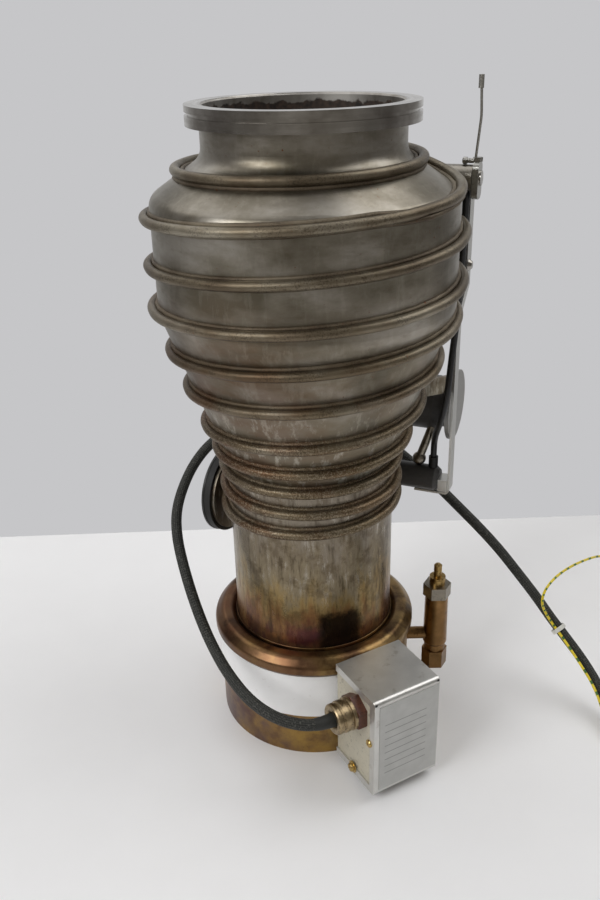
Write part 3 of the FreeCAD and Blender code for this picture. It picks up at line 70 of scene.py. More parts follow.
# %% Camera
camera_place = mm(0, -724.3, 614.5)
yaw, pitch, roll = -0.0128277, 0.4460031, -0.0268744
forward = Vector((
    math.sin(yaw) * math.cos(pitch), math.cos(yaw) * math.cos(pitch), -math.sin(pitch)))
level = Vector((math.cos(yaw), -math.sin(yaw), 0))
above = level.cross(forward)
across = math.cos(roll) * level + math.sin(roll) * above
upward = -math.sin(roll) * level + math.cos(roll) * above
camera_data = bpy.data.cameras.new("camera")
camera_data.lens = 36
camera_data.sensor_width = 36
camera = bpy.data.objects.new("camera", camera_data)
turning = Matrix((across, upward, -forward)).transposed()
camera.matrix_world = Matrix.Translation(camera_place) @ turning.to_4x4()
bpy.context.collection.objects.link(camera)
bpy.context.scene.camera = camera
print("camera tilted", round(math.degrees(pitch), 1), "degrees down")


# %% [markdown]
# The main lead is 2.1 m of woven cable. A cylinder swept by hand would kink. A NURBS curve through
# a few points is one smooth line of a known length, and a round bevel gives it its thickness. The
# same kind of curve makes the earth wire, the brazing fillets and the strain relief.

# %% Cord on a smooth line
def cord_curve(name, points, radius):
    """A round cord on a smooth spline with these control points, in metres."""
    data = bpy.data.curves.new(name, "CURVE")
    data.dimensions = "3D"
    data.bevel_depth = 1.0
    data.bevel_resolution = 6
    data.resolution_u = 8
    data.use_fill_caps = True
    spline = data.splines.new("NURBS")
    spline.points.add(len(points) - 1)
    for control, point in zip(spline.points, points):
        control.co = (*point, 1)
        control.radius = radius
    spline.order_u = 3
    spline.use_endpoint_u = True
    piece = bpy.data.objects.new(name, data)
    bpy.context.collection.objects.link(piece)
    return piece


def curve_length(piece):
    """Length of a cord along its spline, in metres."""
    bare = piece.data.copy()
    bare.bevel_depth = 0
    probe = bpy.data.objects.new("probe", bare)
    mesh = bpy.data.meshes.new_from_object(probe)
    run = sum(
        (mesh.vertices[edge.vertices[0]].co - mesh.vertices[edge.vertices[1]].co).length
        for edge in mesh.edges
    )
    bpy.data.objects.remove(probe)
    return run


print("cords can be drawn")


# %% [markdown]
# The lead leaves the gland on the terminal box, sweeps round behind the pump and comes down at the
# right. Its points could be placed on the screen. They are the ones of the construction model, so
# that the cord and its solid agree. The box stands turned, so places on it are given in its own
# directions.

# %% Route of the main lead
box_turn = math.radians(29.4)
box_right = Vector((math.cos(box_turn), math.sin(box_turn), 0))
box_outward = Vector((math.sin(box_turn), -math.cos(box_turn), 0))


def on_box(right, outward, height):
    """A point in the terminal box's own directions, in millimetres."""
    return box_right * mm(right) + box_outward * mm(outward) + mm(0, 0, height)


gland_outward, gland_height = 129.6, 84
lead_exit = on_box(-50, gland_outward, gland_height)
coil_centre = mm(334, -172, 0)
entry_angle = math.radians(122)
entry_way = Vector((math.cos(entry_angle), math.sin(entry_angle), 0))
lead_end = coil_centre + entry_way * mm(65) + mm(0, 0, 6)
lead_route = [
    lead_exit,
    lead_exit - box_right * mm(16),
    mm(-9.5, -148.8, 85.5),
    mm(-26.5, -147.3, 89),
    mm(-43, -139.8, 93),
    mm(-57.5, -126.5, 96),
    mm(-70, -109, 99),
    mm(-83, -89, 105),
    mm(-97, -66, 119),
    mm(-110, -41, 139),
    mm(-121, -15, 161),
    mm(-128, 8, 177),
    mm(-130.5, 31, 190),
    mm(-126, 53, 204),
    mm(-116, 74, 220),
    mm(-100, 93, 234),
    mm(-76, 111, 243),
    mm(-46, 125, 248),
    mm(-14, 135, 247),
    mm(20, 141, 240),
    mm(54, 137, 228),
    mm(84, 123, 213),
    mm(109, 102, 198),
    mm(130, 83, 183),
    mm(149, 69, 167),
    mm(168, 58, 150),
    mm(187, 47, 131),
    mm(204, 36, 111),
    mm(221, 24, 91),
    mm(235, 10, 73),
    mm(249, -3, 57),
    mm(262, -16, 42),
    mm(273, -34, 27),
    mm(280, -55, 14.5),
    mm(283.5, -77, 8),
    lead_end + entry_way * mm(21),
]
print("lead route", len(lead_route), "points down to the table")


# %% [markdown]
# The rest of the lead lies in a coil of three and a half turns beside the view, with the plug on
# its end. A finished spiral would cross itself, because the lead is 10 mm thick. A short table says
# how far out and how high the lead lies after so many turns, so each turn has its own seat.

# %% Coil and main lead
lead_radius = mm(5)
coil_turns = 3.5
steps_per_turn = 12
coil_seats = [  # turns, radius, height
    (0, 60, 5.2), (0.9, 60, 5.2), (1.1, 50.1, 5.2), (1.9, 50.1, 5.2), (2.1, 50.1, 14.8),
    (2.85, 50.1, 14.8), (3.1, 59.6, 14.8), (3.6, 59.6, 14.8),
]


def coil_seat(turns):
    """Radius and height of the lead in the coil after so many turns."""
    for (low, *inner), (high, *outer) in zip(coil_seats, coil_seats[1:]):
        if turns <= high:
            break
    share = (turns - low) / (high - low)
    return [a + (b - a) * share for a, b in zip(inner, outer)]


for step in range(1, round(coil_turns * steps_per_turn)):
    turns = step / steps_per_turn
    reach, height = coil_seat(turns)
    angle = entry_angle + turns * 2 * math.pi
    lead_route.append(coil_centre + mm(reach * math.cos(angle), reach * math.sin(angle), height))
plug_angle = math.radians(-50)
plug_way = Vector((math.cos(plug_angle), math.sin(plug_angle), 0))
lead_route.append(coil_centre + plug_way * mm(65.5) + mm(0, 0, 13))
lead = cord_curve("main_lead", lead_route, lead_radius)
lead_length = curve_length(lead)
print("main lead", round(lead_length, 3), "m")


# %% [markdown]
# The earth wire is a loop of stiff single core that a tie holds against the lead. It could hang
# free. Its middle is worked out from the lead's own line, so that it runs beside the lead exactly
# where the tie is.

# %% Earth wire
tie_point = 29
before_tie, after_tie = lead_route[tie_point], lead_route[tie_point + 1]
along_lead = (after_tie - before_tie).normalized()
lead_middle = (before_tie + after_tie) / 2
toward_wire = Vector((-0.49, -0.84, 0.25))
toward_wire = (toward_wire - along_lead * toward_wire.dot(along_lead)).normalized()
wire_middle = lead_middle + toward_wire * mm(6.3)
wire_route = [
    mm(281, -119, 1.3),
    mm(274, -99, 1.6),
    mm(272, -79, 7),
    mm(272, -60, 17),
    mm(267, -42, 31),
    mm(256, -25, 46),
    wire_middle + along_lead * mm(7),
    wire_middle - along_lead * mm(7) + toward_wire * mm(0.2),
    mm(226, 1, 86),
    mm(221, -0.5, 98),
    mm(223.5, 4, 109),
    mm(235, 16.5, 114.5),
    mm(254, 38, 112),
    mm(278, 64, 104),
    mm(304, 92, 92),
    mm(330, 118, 74),
    mm(354, 137, 51),
    mm(372, 150, 27),
    mm(384, 161, 9),
    mm(397, 176, 1.6),
    mm(411, 196, 1.3),
]
wire_radius = mm(1.25)
earth_wire = cord_curve("earth_wire_run", wire_route, wire_radius)
wire_length = curve_length(earth_wire)
print("earth wire", round(wire_length, 3), "m")


# %% [markdown]
# Both cords are fixed to the pump's body. Each stands for the plain solid that the construction
# model has in its place, which is hidden; the lead's plug and tie stay as solids.

# %% Cords on the pump
for piece, exit_point, length, radius, ending, stiffness, slot, replaced, with_pieces in (
    (lead, lead_exit, lead_length, lead_radius, "plug", "medium", "woven_lead",
     ("lead", "lead_coil"), [nodes["lead_plug"], nodes["cable_tie"]]),
    (earth_wire, wire_route[0], wire_length, wire_radius, "bare", "stiff", "earth_plastic",
     ("earth_wire",), []),
):
    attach(piece, "pump")
    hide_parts(*replaced)
    print(piece.name, "stands for", *replaced)


# %% [markdown]
# A finish is a small network of nodes. It could be clicked together in the shader editor. Here one
# function adds a node with its settings and links, so that each call reads as one node. An input
# may be a number, a colour, a socket, or a whole node, whose result is linked. Colours are written
# as the hex values that a paint picker shows, and one helper makes them the linear values that a
# shader mixes.

# %% One node at a time
def colour(code):
    """An sRGB hex colour as linear RGBA."""
    channels = [int(code[start:start + 2], 16) / 255 for start in (1, 3, 5)]
    linear = [c / 12.92 if c <= 0.04045 else ((c + 0.055) / 1.055) ** 2.4 for c in channels]
    return (*linear, 1.0)


def feed(tree, node, inputs):
    """Set or link the inputs of a node. A whole node gives its result."""
    for name, value in inputs.items():
        if isinstance(value, bpy.types.Node):
            value = next(socket for socket in value.outputs if socket.enabled)
        if isinstance(value, bpy.types.NodeSocket):
            tree.links.new(value, node.inputs[name])
        else:
            node.inputs[name].default_value = value


def add(tree, kind, inputs=None, stops=(), **settings):
    """A node with its settings, its inputs and, on a colour ramp, its (place, colour) stops."""
    node = tree.nodes.new(kind)
    for name, value in settings.items():
        setattr(node, name, value)
    for index, (position, code) in enumerate(stops):
        marks = node.color_ramp.elements
        mark = marks[index] if index < 2 else marks.new(position)
        mark.position = position
        mark.color = colour(code)
    feed(tree, node, inputs or {})
    return node


print("bronze brown is", [round(channel, 3) for channel in colour("#785b41")], "in linear colour")


# %% [markdown]
# Every finish starts in the same way: one surface shader, and the coordinates of the surface. The
# solids of the construction model keep their shapes and only change their finish.

# %% A new finish
def new_material(name, **shader_values):
    """A material, its tree, its surface shader and the object coordinates."""
    material = bpy.data.materials.new(name)
    material.use_nodes = True
    tree = material.node_tree
    shader = tree.nodes["Principled BSDF"]
    feed(tree, shader, shader_values)
    place = add(tree, "ShaderNodeTexCoord").outputs["Object"]
    return material, tree, shader, place


def finish_with(material, *names):
    """Give one finish to construction nodes."""
    for name in names:
        nodes[name].data.materials.clear()
        nodes[name].data.materials.append(material)
    print(material.name, "on", ", ".join(names))


# %% [markdown]
# Age leaves its marks by place: between two heights, inside a bore, on one side. Such masks could
# be painted by hand, and would then be bound to one mesh. These two helpers build them from Object
# coordinates: each piece has its place in its mesh, so one mark runs on across neighbouring parts.

# %% Marks by place
def where(tree, value, none, full, mask=1.0):
    """A mask that rises smoothly from 0 to 1 between two values, times another mask."""
    rise = add(tree, "ShaderNodeMapRange", {"Value": value, "From Min": none, "From Max": full},
               interpolation_type="SMOOTHSTEP")
    return add(tree, "ShaderNodeMath", {0: mask, 1: rise}, operation="MULTIPLY")


def reach_of(tree, place):
    """Distance from the pump's axis, in metres."""
    flat = add(tree, "ShaderNodeVectorMath", {0: place, 1: (1, 1, 0)}, operation="MULTIPLY")
    return add(tree, "ShaderNodeVectorMath", {0: flat}, operation="LENGTH")


print("marks can be placed on", len(nodes), "solids")


# %% [markdown]
# Inside the throat the vapour of years has left a dark brown crust with a ragged upper edge. It
# could be a second material on some faces, with a hard straight edge. A mask by radius and height,
# torn by noise, gives the ragged edge and runs on from the flange into the body.

# %% Deposit in the throat
crust_reach, crust_height = mm(77.4), mm(554)
crust_edge, bore_edge = mm(0.8), mm(0.6)
throat_floor, throat_top = mm(500), mm(506)
torn_by = mm(6)


def torn_height(tree, place, size):
    """The height, torn up and down by noise of a size in millimetres, and how far it is torn."""
    height = add(tree, "ShaderNodeSeparateXYZ", {0: place}).outputs["Z"]
    cloud = add(tree, "ShaderNodeTexNoise", {
        "Vector": place, "Scale": 1 / mm(size), "Detail": 5.0, "Roughness": 0.55})
    tear = add(tree, "ShaderNodeMapRange", {"Value": cloud, "To Min": -torn_by, "To Max": torn_by})
    return add(tree, "ShaderNodeMath", {0: height, 1: tear}, operation="ADD"), tear


def crust_mask(tree, place):
    """1 on the inner wall, from the throat's foot up to the ragged edge of the deposit."""
    height = add(tree, "ShaderNodeSeparateXYZ", {0: place}).outputs["Z"]
    edge = torn_height(tree, place, 9)[0]
    below = where(tree, edge, crust_height + crust_edge, crust_height - crust_edge)
    inside = where(tree, reach_of(tree, place), crust_reach + bore_edge, crust_reach, below)
    return where(tree, height, throat_floor, throat_top, inside)


print("deposit up to", round(crust_height, 3), "m")


# %% [markdown]
# No old surface has one even colour. It drifts in soft clouds, and each stain lies over what was
# there before. A paint layer could be kept for each stain. Two helpers do the same with nodes: one
# clouds a colour at a size in millimetres, and one lays a colour over another by a mask.

# %% Clouded colours and stains
def clouded(tree, place, size, stops, detail=6.0, roughness=0.55, stretch=(1, 1, 1)):
    """A colour that drifts between its stops in clouds, longer the way that stretch is small."""
    longer = add(tree, "ShaderNodeVectorMath", {0: place, 1: stretch}, operation="MULTIPLY")
    cloud = add(tree, "ShaderNodeTexNoise", {
        "Vector": longer, "Scale": 1 / mm(size), "Detail": detail, "Roughness": roughness})
    return add(tree, "ShaderNodeValToRGB", {"Fac": cloud}, stops)


def lay_over(tree, base, mask, share, code):
    """A colour laid over another by a share of a mask."""
    amount = add(tree, "ShaderNodeMath", {0: mask, 1: share}, operation="MULTIPLY")
    return add(tree, "ShaderNodeMix", {0: amount, 6: base, 7: colour(code)}, data_type="RGBA")


print("clouds and stains can be laid")


# %% [markdown]
# The inlet flange is machined stainless steel. The lathe tool leaves rings round the axis, and the
# eye sees them as soft bands in the highlights. An image of rings would need wrapping round every
# face. Noise over the sum of radius and height needs none, and runs round as the tool did. The
# real marks are about 0.1 mm apart. They are drawn 5 mm apart, as coarse as they need to show.

# %% Turned stainless steel
tool_marks = mm(5)
bore_wall, rim_wall = mm(77), mm(88.5)
dark_steel_tone, light_steel_tone = "#858079", "#b3b0ab"


def turned_steel():
    """Bright rings outside and the brown deposit in the bore."""
    material, tree, shader, place = new_material("turned stainless steel")
    height = add(tree, "ShaderNodeSeparateXYZ", {0: place}).outputs["Z"]
    reach = reach_of(tree, place)
    off_bore = add(tree, "ShaderNodeMath", {0: reach, 1: bore_wall}, operation="MAXIMUM")
    on_faces = add(tree, "ShaderNodeMath", {0: off_bore, 1: rim_wall}, operation="MINIMUM")
    along = add(tree, "ShaderNodeMath", {0: on_faces, 1: height}, operation="ADD")
    rings = add(tree, "ShaderNodeTexNoise", {"W": along, "Scale": 1 / tool_marks, "Detail": 1.0},
                noise_dimensions="1D")
    tone = clouded(tree, place, 22, ((0.32, dark_steel_tone), (0.62, light_steel_tone)))
    tone = lay_over(tree, tone, where(tree, rings, 0.48, 0.6), 0.3, dark_steel_tone)
    crust = crust_mask(tree, place)
    dirt = clouded(tree, place, 4, ((0.35, "#17110d"), (0.65, "#43342a")), 8.0)
    base = add(tree, "ShaderNodeMix", {0: crust, 6: tone, 7: dirt}, data_type="RGBA")
    polish = add(tree, "ShaderNodeMapRange", {"Value": rings, "To Min": 0.13, "To Max": 0.24})
    bored = where(tree, reach, crust_reach + bore_edge, crust_reach, 0.5)
    satin = add(tree, "ShaderNodeMath", {0: polish, 1: bored}, operation="MAXIMUM")
    matt = add(tree, "ShaderNodeMath", {0: crust, 1: 0.7}, operation="MULTIPLY")
    rough = add(tree, "ShaderNodeMath", {0: satin, 1: matt}, operation="MAXIMUM")
    feed(tree, shader, {"Base Color": base, "Metallic": where(tree, crust, 1.0, 0.0),
                        "Roughness": rough})
    return material


finish_with(turned_steel(), "inlet_flange", "valve_seat", "valve_shaft", "stand_off",
            "pull_piston")


# %% [markdown]
# The body is spun and rolled stainless sheet, dulled by years of heat, brazing flux and handling.
# The eye sees a satin grey with an olive cast, cloudy patches a few centimetres wide, and more
# brown lower down and at the left. The lowest part at the left is also darkened: painted shade.
# One flat grey would look new. The colour is built in layers, from the steel up to the last stain,
# as it came about. A stain sits in patches of a real size, so one more helper makes those.

# %% Clouds, brown stain and painted shade of the old steel
stain_start, stain_full = mm(470), mm(280)


def blotches(tree, place, size, none, full, detail=6.0, roughness=0.55, stretch=(1, 1, 1)):
    """A mask of patches of a size in millimetres, longer the way that stretch is small."""
    longer = add(tree, "ShaderNodeVectorMath", {0: place, 1: stretch}, operation="MULTIPLY")
    cloud = add(tree, "ShaderNodeTexNoise", {
        "Vector": longer, "Scale": 1 / mm(size), "Detail": detail, "Roughness": roughness})
    return where(tree, cloud, none, full)


def aged_tone_and_shade(tree, place, tones):
    """Cloudy steel, olive then brown towards the cone's foot, with painted shade at the lower left.
    """
    split = add(tree, "ShaderNodeSeparateXYZ", {0: place})
    sideways, height = split.outputs["X"], split.outputs["Z"]
    tone = clouded(tree, place, 42, tuple(zip((0.34, 0.5, 0.66), tones)), 9.0, 0.58,
                   (0.6, 0.6, 1.2))
    olive = blotches(tree, place, 45, 0.3, 0.65)
    olive = where(tree, height, stain_start, stain_full, olive)
    tone = lay_over(tree, tone, olive, 0.6, "#6d5b3d")
    warm = blotches(tree, place, 34, 0.42, 0.62, 7.0, 0.6, (0.7, 0.7, 1.6))
    warm = where(tree, height, stain_start, stain_full, warm)
    left = where(tree, sideways, mm(40), -mm(80))
    more_left = add(tree, "ShaderNodeMath", {0: left, 1: 0.65, 2: 0.25}, operation="MULTIPLY_ADD")
    tone = lay_over(tree, tone, warm, more_left, "#6a4529")
    # Painted shade: below 380 mm the left side is darkened towards dark brown.
    shaded = where(tree, height, mm(440), mm(380), left)
    return lay_over(tree, tone, shaded, 0.5, "#493827")


print("old steel browns over", round(stain_start - stain_full, 3), "m")


# %% [markdown]
# Two more marks are not on every part. Water has left pale lime on the wall as long drips, so the
# pattern is stretched upright. A pale film low on the cone is partly lime and partly painted light,
# which brightens the wall where it lies shaded between the low turns of the tube. The brazing has
# left pits on the tube, and the pale specks low on the cone are painted highlights. Modelling the
# pits would take millions of faces, and at this distance the eye only sees the fine speckle that a
# colour gives. The pits are about 0.3 mm wide and drawn at 1.3 mm.

# %% Lime, painted light and brazing pits
scale_start, scale_full = mm(370), mm(290)


def lime_drips_and_light(tree, place, tone):
    """Pale film low on the cone, partly lime and partly painted light, and long drips down the
    wall.
    """
    height = add(tree, "ShaderNodeSeparateXYZ", {0: place}).outputs["Z"]
    # Partly painted light: the film brightens the low cone, where the wall lies shaded between
    # turns.
    film = where(tree, height, scale_start, scale_full)
    drips = blotches(tree, place, 7, 0.5, 0.62, 9.0, 0.7, (1, 1, 0.22))
    share = add(tree, "ShaderNodeMath", {0: film, 1: 0.55, 2: 0.08}, operation="MULTIPLY_ADD")
    tone = lay_over(tree, tone, film, 0.3, "#a39c8c")
    return lay_over(tree, tone, drips, share, "#c2bdb0")


def pits_and_painted_glint(tree, place, tone, share):
    """Pale painted highlights low on the cone, and dark pits strewn all over."""
    height = add(tree, "ShaderNodeSeparateXYZ", {0: place}).outputs["Z"]
    grit = add(tree, "ShaderNodeTexNoise", {
        "Vector": place, "Scale": 1 / mm(1.3), "Detail": 3.0, "Roughness": 0.7})
    # Painted highlights: pale specks low on the cone stand in for glints of light.
    painted_glints = where(tree, grit, 0.5, 0.62, where(tree, height, scale_start, scale_full))
    tone = lay_over(tree, tone, painted_glints, 0.55, "#a99d88")
    strewn = blotches(tree, place, 22, 0.4, 0.56, 4.0)
    return lay_over(tree, tone, where(tree, grit, 0.5, 0.4, strewn), share, "#2c231a")


print("lime grows over", round(scale_start - scale_full, 3), "m")


# %% [markdown]
# The layers come together in one finish: clouds, painted shade, lime, painted light, soot, rust
# freckles and the deposit, with wiping marks that make the gloss uneven. The eye reads an uneven
# gloss as old metal before it reads the colour. The sheet of the body, the tube and the fillets
# differ only in tone, dullness and how deep their surface is, so one maker gives all three. Wiping
# marks are finer than 0.5 mm and drawn at 1.4 mm.

# %% Weathered steels
def weathered_steel(name, tones, metal, dullness, grain, rust, pits=0.0):
    """Grain is the depth of the surface in millimetres, pits and rust are shares."""
    material, tree, shader, place = new_material(name, Metallic=metal)
    height = add(tree, "ShaderNodeSeparateXYZ", {0: place}).outputs["Z"]
    tone = aged_tone_and_shade(tree, place, tones)
    if not pits:
        tone = lime_drips_and_light(tree, place, tone)
    soot = blotches(tree, place, 16, 0.52, 0.72, 8.0, 0.7, (0.5, 0.5, 1.6))
    tone = lay_over(tree, tone, soot, 0.3, "#544b3c")
    freckles = blotches(tree, place, 3.2, 0.665, 0.72, 4.0, 0.5)
    zones = blotches(tree, place, 26, 0.5, 0.6, 2.0)
    spots = add(tree, "ShaderNodeMath", {0: freckles, 1: zones}, operation="MULTIPLY")
    tone = lay_over(tree, tone, spots, rust, "#6b3f22")
    tone = lay_over(tree, tone, crust_mask(tree, place), 1.0, "#2a201a")
    if pits:
        tone = pits_and_painted_glint(tree, place, tone, pits)

    wiped = add(tree, "ShaderNodeVectorMath", {0: place, 1: (0.12, 0.12, 1)},
                operation="MULTIPLY")
    wipe = add(tree, "ShaderNodeTexNoise", {
        "Vector": wiped, "Scale": 1 / mm(1.4), "Detail": 4.0, "Roughness": 0.55})
    rough = add(tree, "ShaderNodeMapRange", {
        "Value": wipe, "To Min": dullness - 0.07, "To Max": dullness + 0.07})
    rough = add(tree, "ShaderNodeMath", {0: soot, 1: 0.06, 2: rough}, operation="MULTIPLY_ADD")
    lower = where(tree, height, stain_start, stain_full)
    rough = add(tree, "ShaderNodeMath", {0: lower, 1: 0.05, 2: rough}, operation="MULTIPLY_ADD")
    grains = add(tree, "ShaderNodeTexNoise", {
        "Vector": place, "Scale": 1 / mm(1.1), "Detail": 4.0, "Roughness": 0.7})
    relief = add(tree, "ShaderNodeMath", {0: grains, 1: 2.0, 2: wipe}, operation="MULTIPLY_ADD")
    bump = add(tree, "ShaderNodeBump", {"Height": relief, "Strength": 0.2, "Distance": mm(grain)})
    feed(tree, shader, {"Base Color": tone, "Roughness": rough, "Normal": bump})
    return material


body_steel = weathered_steel("weathered stainless steel", ("#615b4e", "#807a6e", "#a09b92"),
                             metal=0.94, dullness=0.34, grain=0.04, rust=0.8)
coil_steel = weathered_steel("browned stainless tube", ("#564b3c", "#746a59", "#918a7b"),
                             metal=0.8, dullness=0.42, grain=0.5, rust=0.6, pits=0.55)
braze_steel = weathered_steel("brazing fillet", ("#4a3e30", "#6a5f4f", "#837a69"),
                              metal=0.6, dullness=0.55, grain=0.6, rust=1.0, pits=0.5)
finish_with(body_steel, "upper_shell", "boiler_base", "backing_arm", "baffle", "valve_arms",
            "lower_lug", "port_pipe")
finish_with(coil_steel, "cooling_coil")


# %% [markdown]
# The cooling tube is brazed to the body all along both its sides. Welding beads could be placed
# one by one. A fillet is really one long cord of metal half sunk in the seam, so it is a curve that
# follows the tube's turns, made a mesh. The two tables are the tube's levels and the body's
# profile in the construction model.

# %% Line of the cooling tube
tube_radius = 4.3
coil_levels = [  # turns, height
    (-0.25, 520.5), (0, 519), (0.5, 513), (11 / 12, 511.5), (1, 500), (1.5, 478.1), (2, 464.1),
    (2.5, 441.0), (3, 426.1), (3.5, 406.9), (4, 396.0), (4.5, 371.0), (5, 359.0), (5.5, 338.0),
    (6, 321.0), (6.5, 302.9), (7, 290.1), (7.5, 280.1), (8, 267), (8.5, 262), (9, 246), (9.5, 243),
    (10, 230), (10.5, 221), (10.583, 230.4),
]
body_profile = [(79.5, 521.8), (122, 493), (122, 404), (73.3, 267), (73.3, 150)]


def coil_height(turns):
    """Height of the cooling tube after so many turns."""
    for (low, low_height), (high, high_height) in zip(coil_levels, coil_levels[1:]):
        if turns <= high:
            break
    return low_height + (turns - low) / (high - low) * (high_height - low_height)


def seam_point(turns, side, stand, shift):
    """A point beside the tube: stand off the wall and shift along it, up for side 1."""
    height = coil_height(turns)
    for (top_reach, top), (low_reach, low) in zip(body_profile, body_profile[1:]):
        if height >= low:
            break
    slope = (top_reach - low_reach) / (top - low)
    tilt = math.atan(slope)
    reach = top_reach + slope * (height - top)
    reach += tube_radius * math.cos(tilt) + tube_radius * math.sin(tilt) * slope
    inward = tube_radius - stand
    reach += side * shift * math.sin(tilt) - inward * math.cos(tilt)
    height += side * shift * math.cos(tilt) + inward * math.sin(tilt)
    angle = -turns * 2 * math.pi
    return mm(reach * math.cos(angle), reach * math.sin(angle), height)


print("tube from", coil_levels[0][1], "down to", coil_levels[-2][1], "mm")


# %% [markdown]
# A hand-laid fillet is never even, and an even one looks like wire. Each point of the cord gets
# its own thickness from a fixed row of random numbers, so that it comes out the same every time.

# %% Brazing fillets
first_turn, turns_brazed, fillet_steps = -0.12, 10.6, 385
fillet_radius = mm(2.1)


def as_mesh(piece):
    """A curve made a mesh with smooth shading."""
    bpy.ops.object.select_all(action="DESELECT")
    piece.select_set(True)
    bpy.context.view_layer.objects.active = piece
    bpy.ops.object.convert(target="MESH")
    bpy.ops.object.shade_smooth()


def fit(piece, material, body="pump", replaced=()):
    """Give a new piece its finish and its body."""
    piece.data.materials.append(material)
    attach(piece, body)
    if replaced:
        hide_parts(*replaced)


for side, name in ((1, "braze_above"), (-1, "braze_below")):
    seam = [seam_point(first_turn + turns_brazed * step / fillet_steps, side, 0.7, 3.7)
            for step in range(fillet_steps + 1)]
    fillet = cord_curve(name, seam, fillet_radius)
    fillet.data.bevel_resolution = 1
    fillet.data.resolution_u = 1
    wobble = random.Random(7 + side)
    for control in fillet.data.splines[0].points:
        control.radius *= wobble.uniform(0.86, 1.14)
    as_mesh(fillet)
    fit(fillet, braze_steel)
    print(name, len(fillet.data.polygons), "faces")


# %% [markdown]
# The boiler tube is the same steel, but the heater has tinted it. The oxide film grows thicker
# towards the heater, and the eye sees silver grey, straw, gold, brown and at last purple. A real
# thin film could be set on the shader, but its colours depend on the angle and don't bake. A colour
# ramp over the height, shifted by long upright streaks, is the same from every side.

# %% Heat tint
tint_foot, tint_top = mm(98), mm(225)


def heat_tint(tree, place):
    """Brown at the jacket, gold above it and grey at the top, with violet clouds low down."""
    height = add(tree, "ShaderNodeSeparateXYZ", {0: place}).outputs["Z"]
    longer = add(tree, "ShaderNodeVectorMath", {0: place, 1: (1, 1, 0.35)}, operation="MULTIPLY")
    streaks = add(tree, "ShaderNodeTexNoise", {
        "Vector": longer, "Scale": 1 / mm(16), "Detail": 9.0, "Roughness": 0.62})
    shift = add(tree, "ShaderNodeMapRange", {
        "Value": streaks, "From Min": 0.25, "From Max": 0.75, "To Min": -mm(34), "To Max": mm(34)})
    shifted = add(tree, "ShaderNodeMath", {0: height, 1: shift}, operation="ADD")
    cooler = add(tree, "ShaderNodeMapRange", {
        "Value": shifted, "From Min": tint_foot, "From Max": tint_top})
    tone = add(tree, "ShaderNodeValToRGB", {"Fac": cooler}, (
        (0.0, "#54382c"), (0.12, "#6f4b34"), (0.26, "#876540"), (0.42, "#947e54"),
        (0.6, "#877b64"), (0.8, "#7d7260"), (1.0, "#867d70")))
    violet = where(tree, height, mm(150), mm(112), blotches(tree, place, 14, 0.52, 0.66))
    return lay_over(tree, tone, violet, 0.75, "#43262f")


print("heat tint over", round(tint_top - tint_foot, 3), "m of the tube")


# %% [markdown]
# In front an almost square patch is burnt black, with a small reddish one beside it. Each is a
# window in angle and height, with its edges torn by the same noise, because burnt oil creeps.

# %% Burnt patches
burnt_patches = [  # left and right in degrees, base and top in millimetres, colour, share
    (-86.5, -56.5, 103, 141, "#17110c", 0.9),
    (-110, -88, 110, 127, "#55202a", 0.6),
]
soft_degrees, soft_height = 3, 4


def burn(tree, place, tone):
    """The tone with the burnt patches on it, and the torn height that they use."""
    split = add(tree, "ShaderNodeSeparateXYZ", {0: place})
    angle = add(tree, "ShaderNodeMath", {0: split.outputs["Y"], 1: split.outputs["X"]},
                operation="ARCTAN2")
    height, tear = torn_height(tree, place, 5)
    round_tube = add(tree, "ShaderNodeMath", {0: tear, 1: 8.0, 2: angle},
                     operation="MULTIPLY_ADD")
    for left, right, base, top, code, share in burnt_patches:
        patch = 1.0
        for value, size, edge, soft in (
            (round_tube, math.radians, left, soft_degrees),
            (round_tube, math.radians, right, -soft_degrees),
            (height, mm, base, soft_height),
            (height, mm, top, -soft_height),
        ):
            patch = where(tree, value, size(edge - soft), size(edge + soft), patch)
        tone = lay_over(tree, tone, patch, share, code)
    return tone, height


print("burnt patches", len(burnt_patches))


# %% [markdown]
# Over the tint lie long scratches from cleaning, bright where the tube was rubbed and dark where
# soot stayed in them. The eye sees fine upright lines that glitter, so the same noise drives the
# colour, the gloss and the relief. Close to the jacket the film is so thick that the tube hardly
# looks like metal any more.

# %% Heat-tinted boiler tube
metal_start, metal_full = mm(104), mm(136)


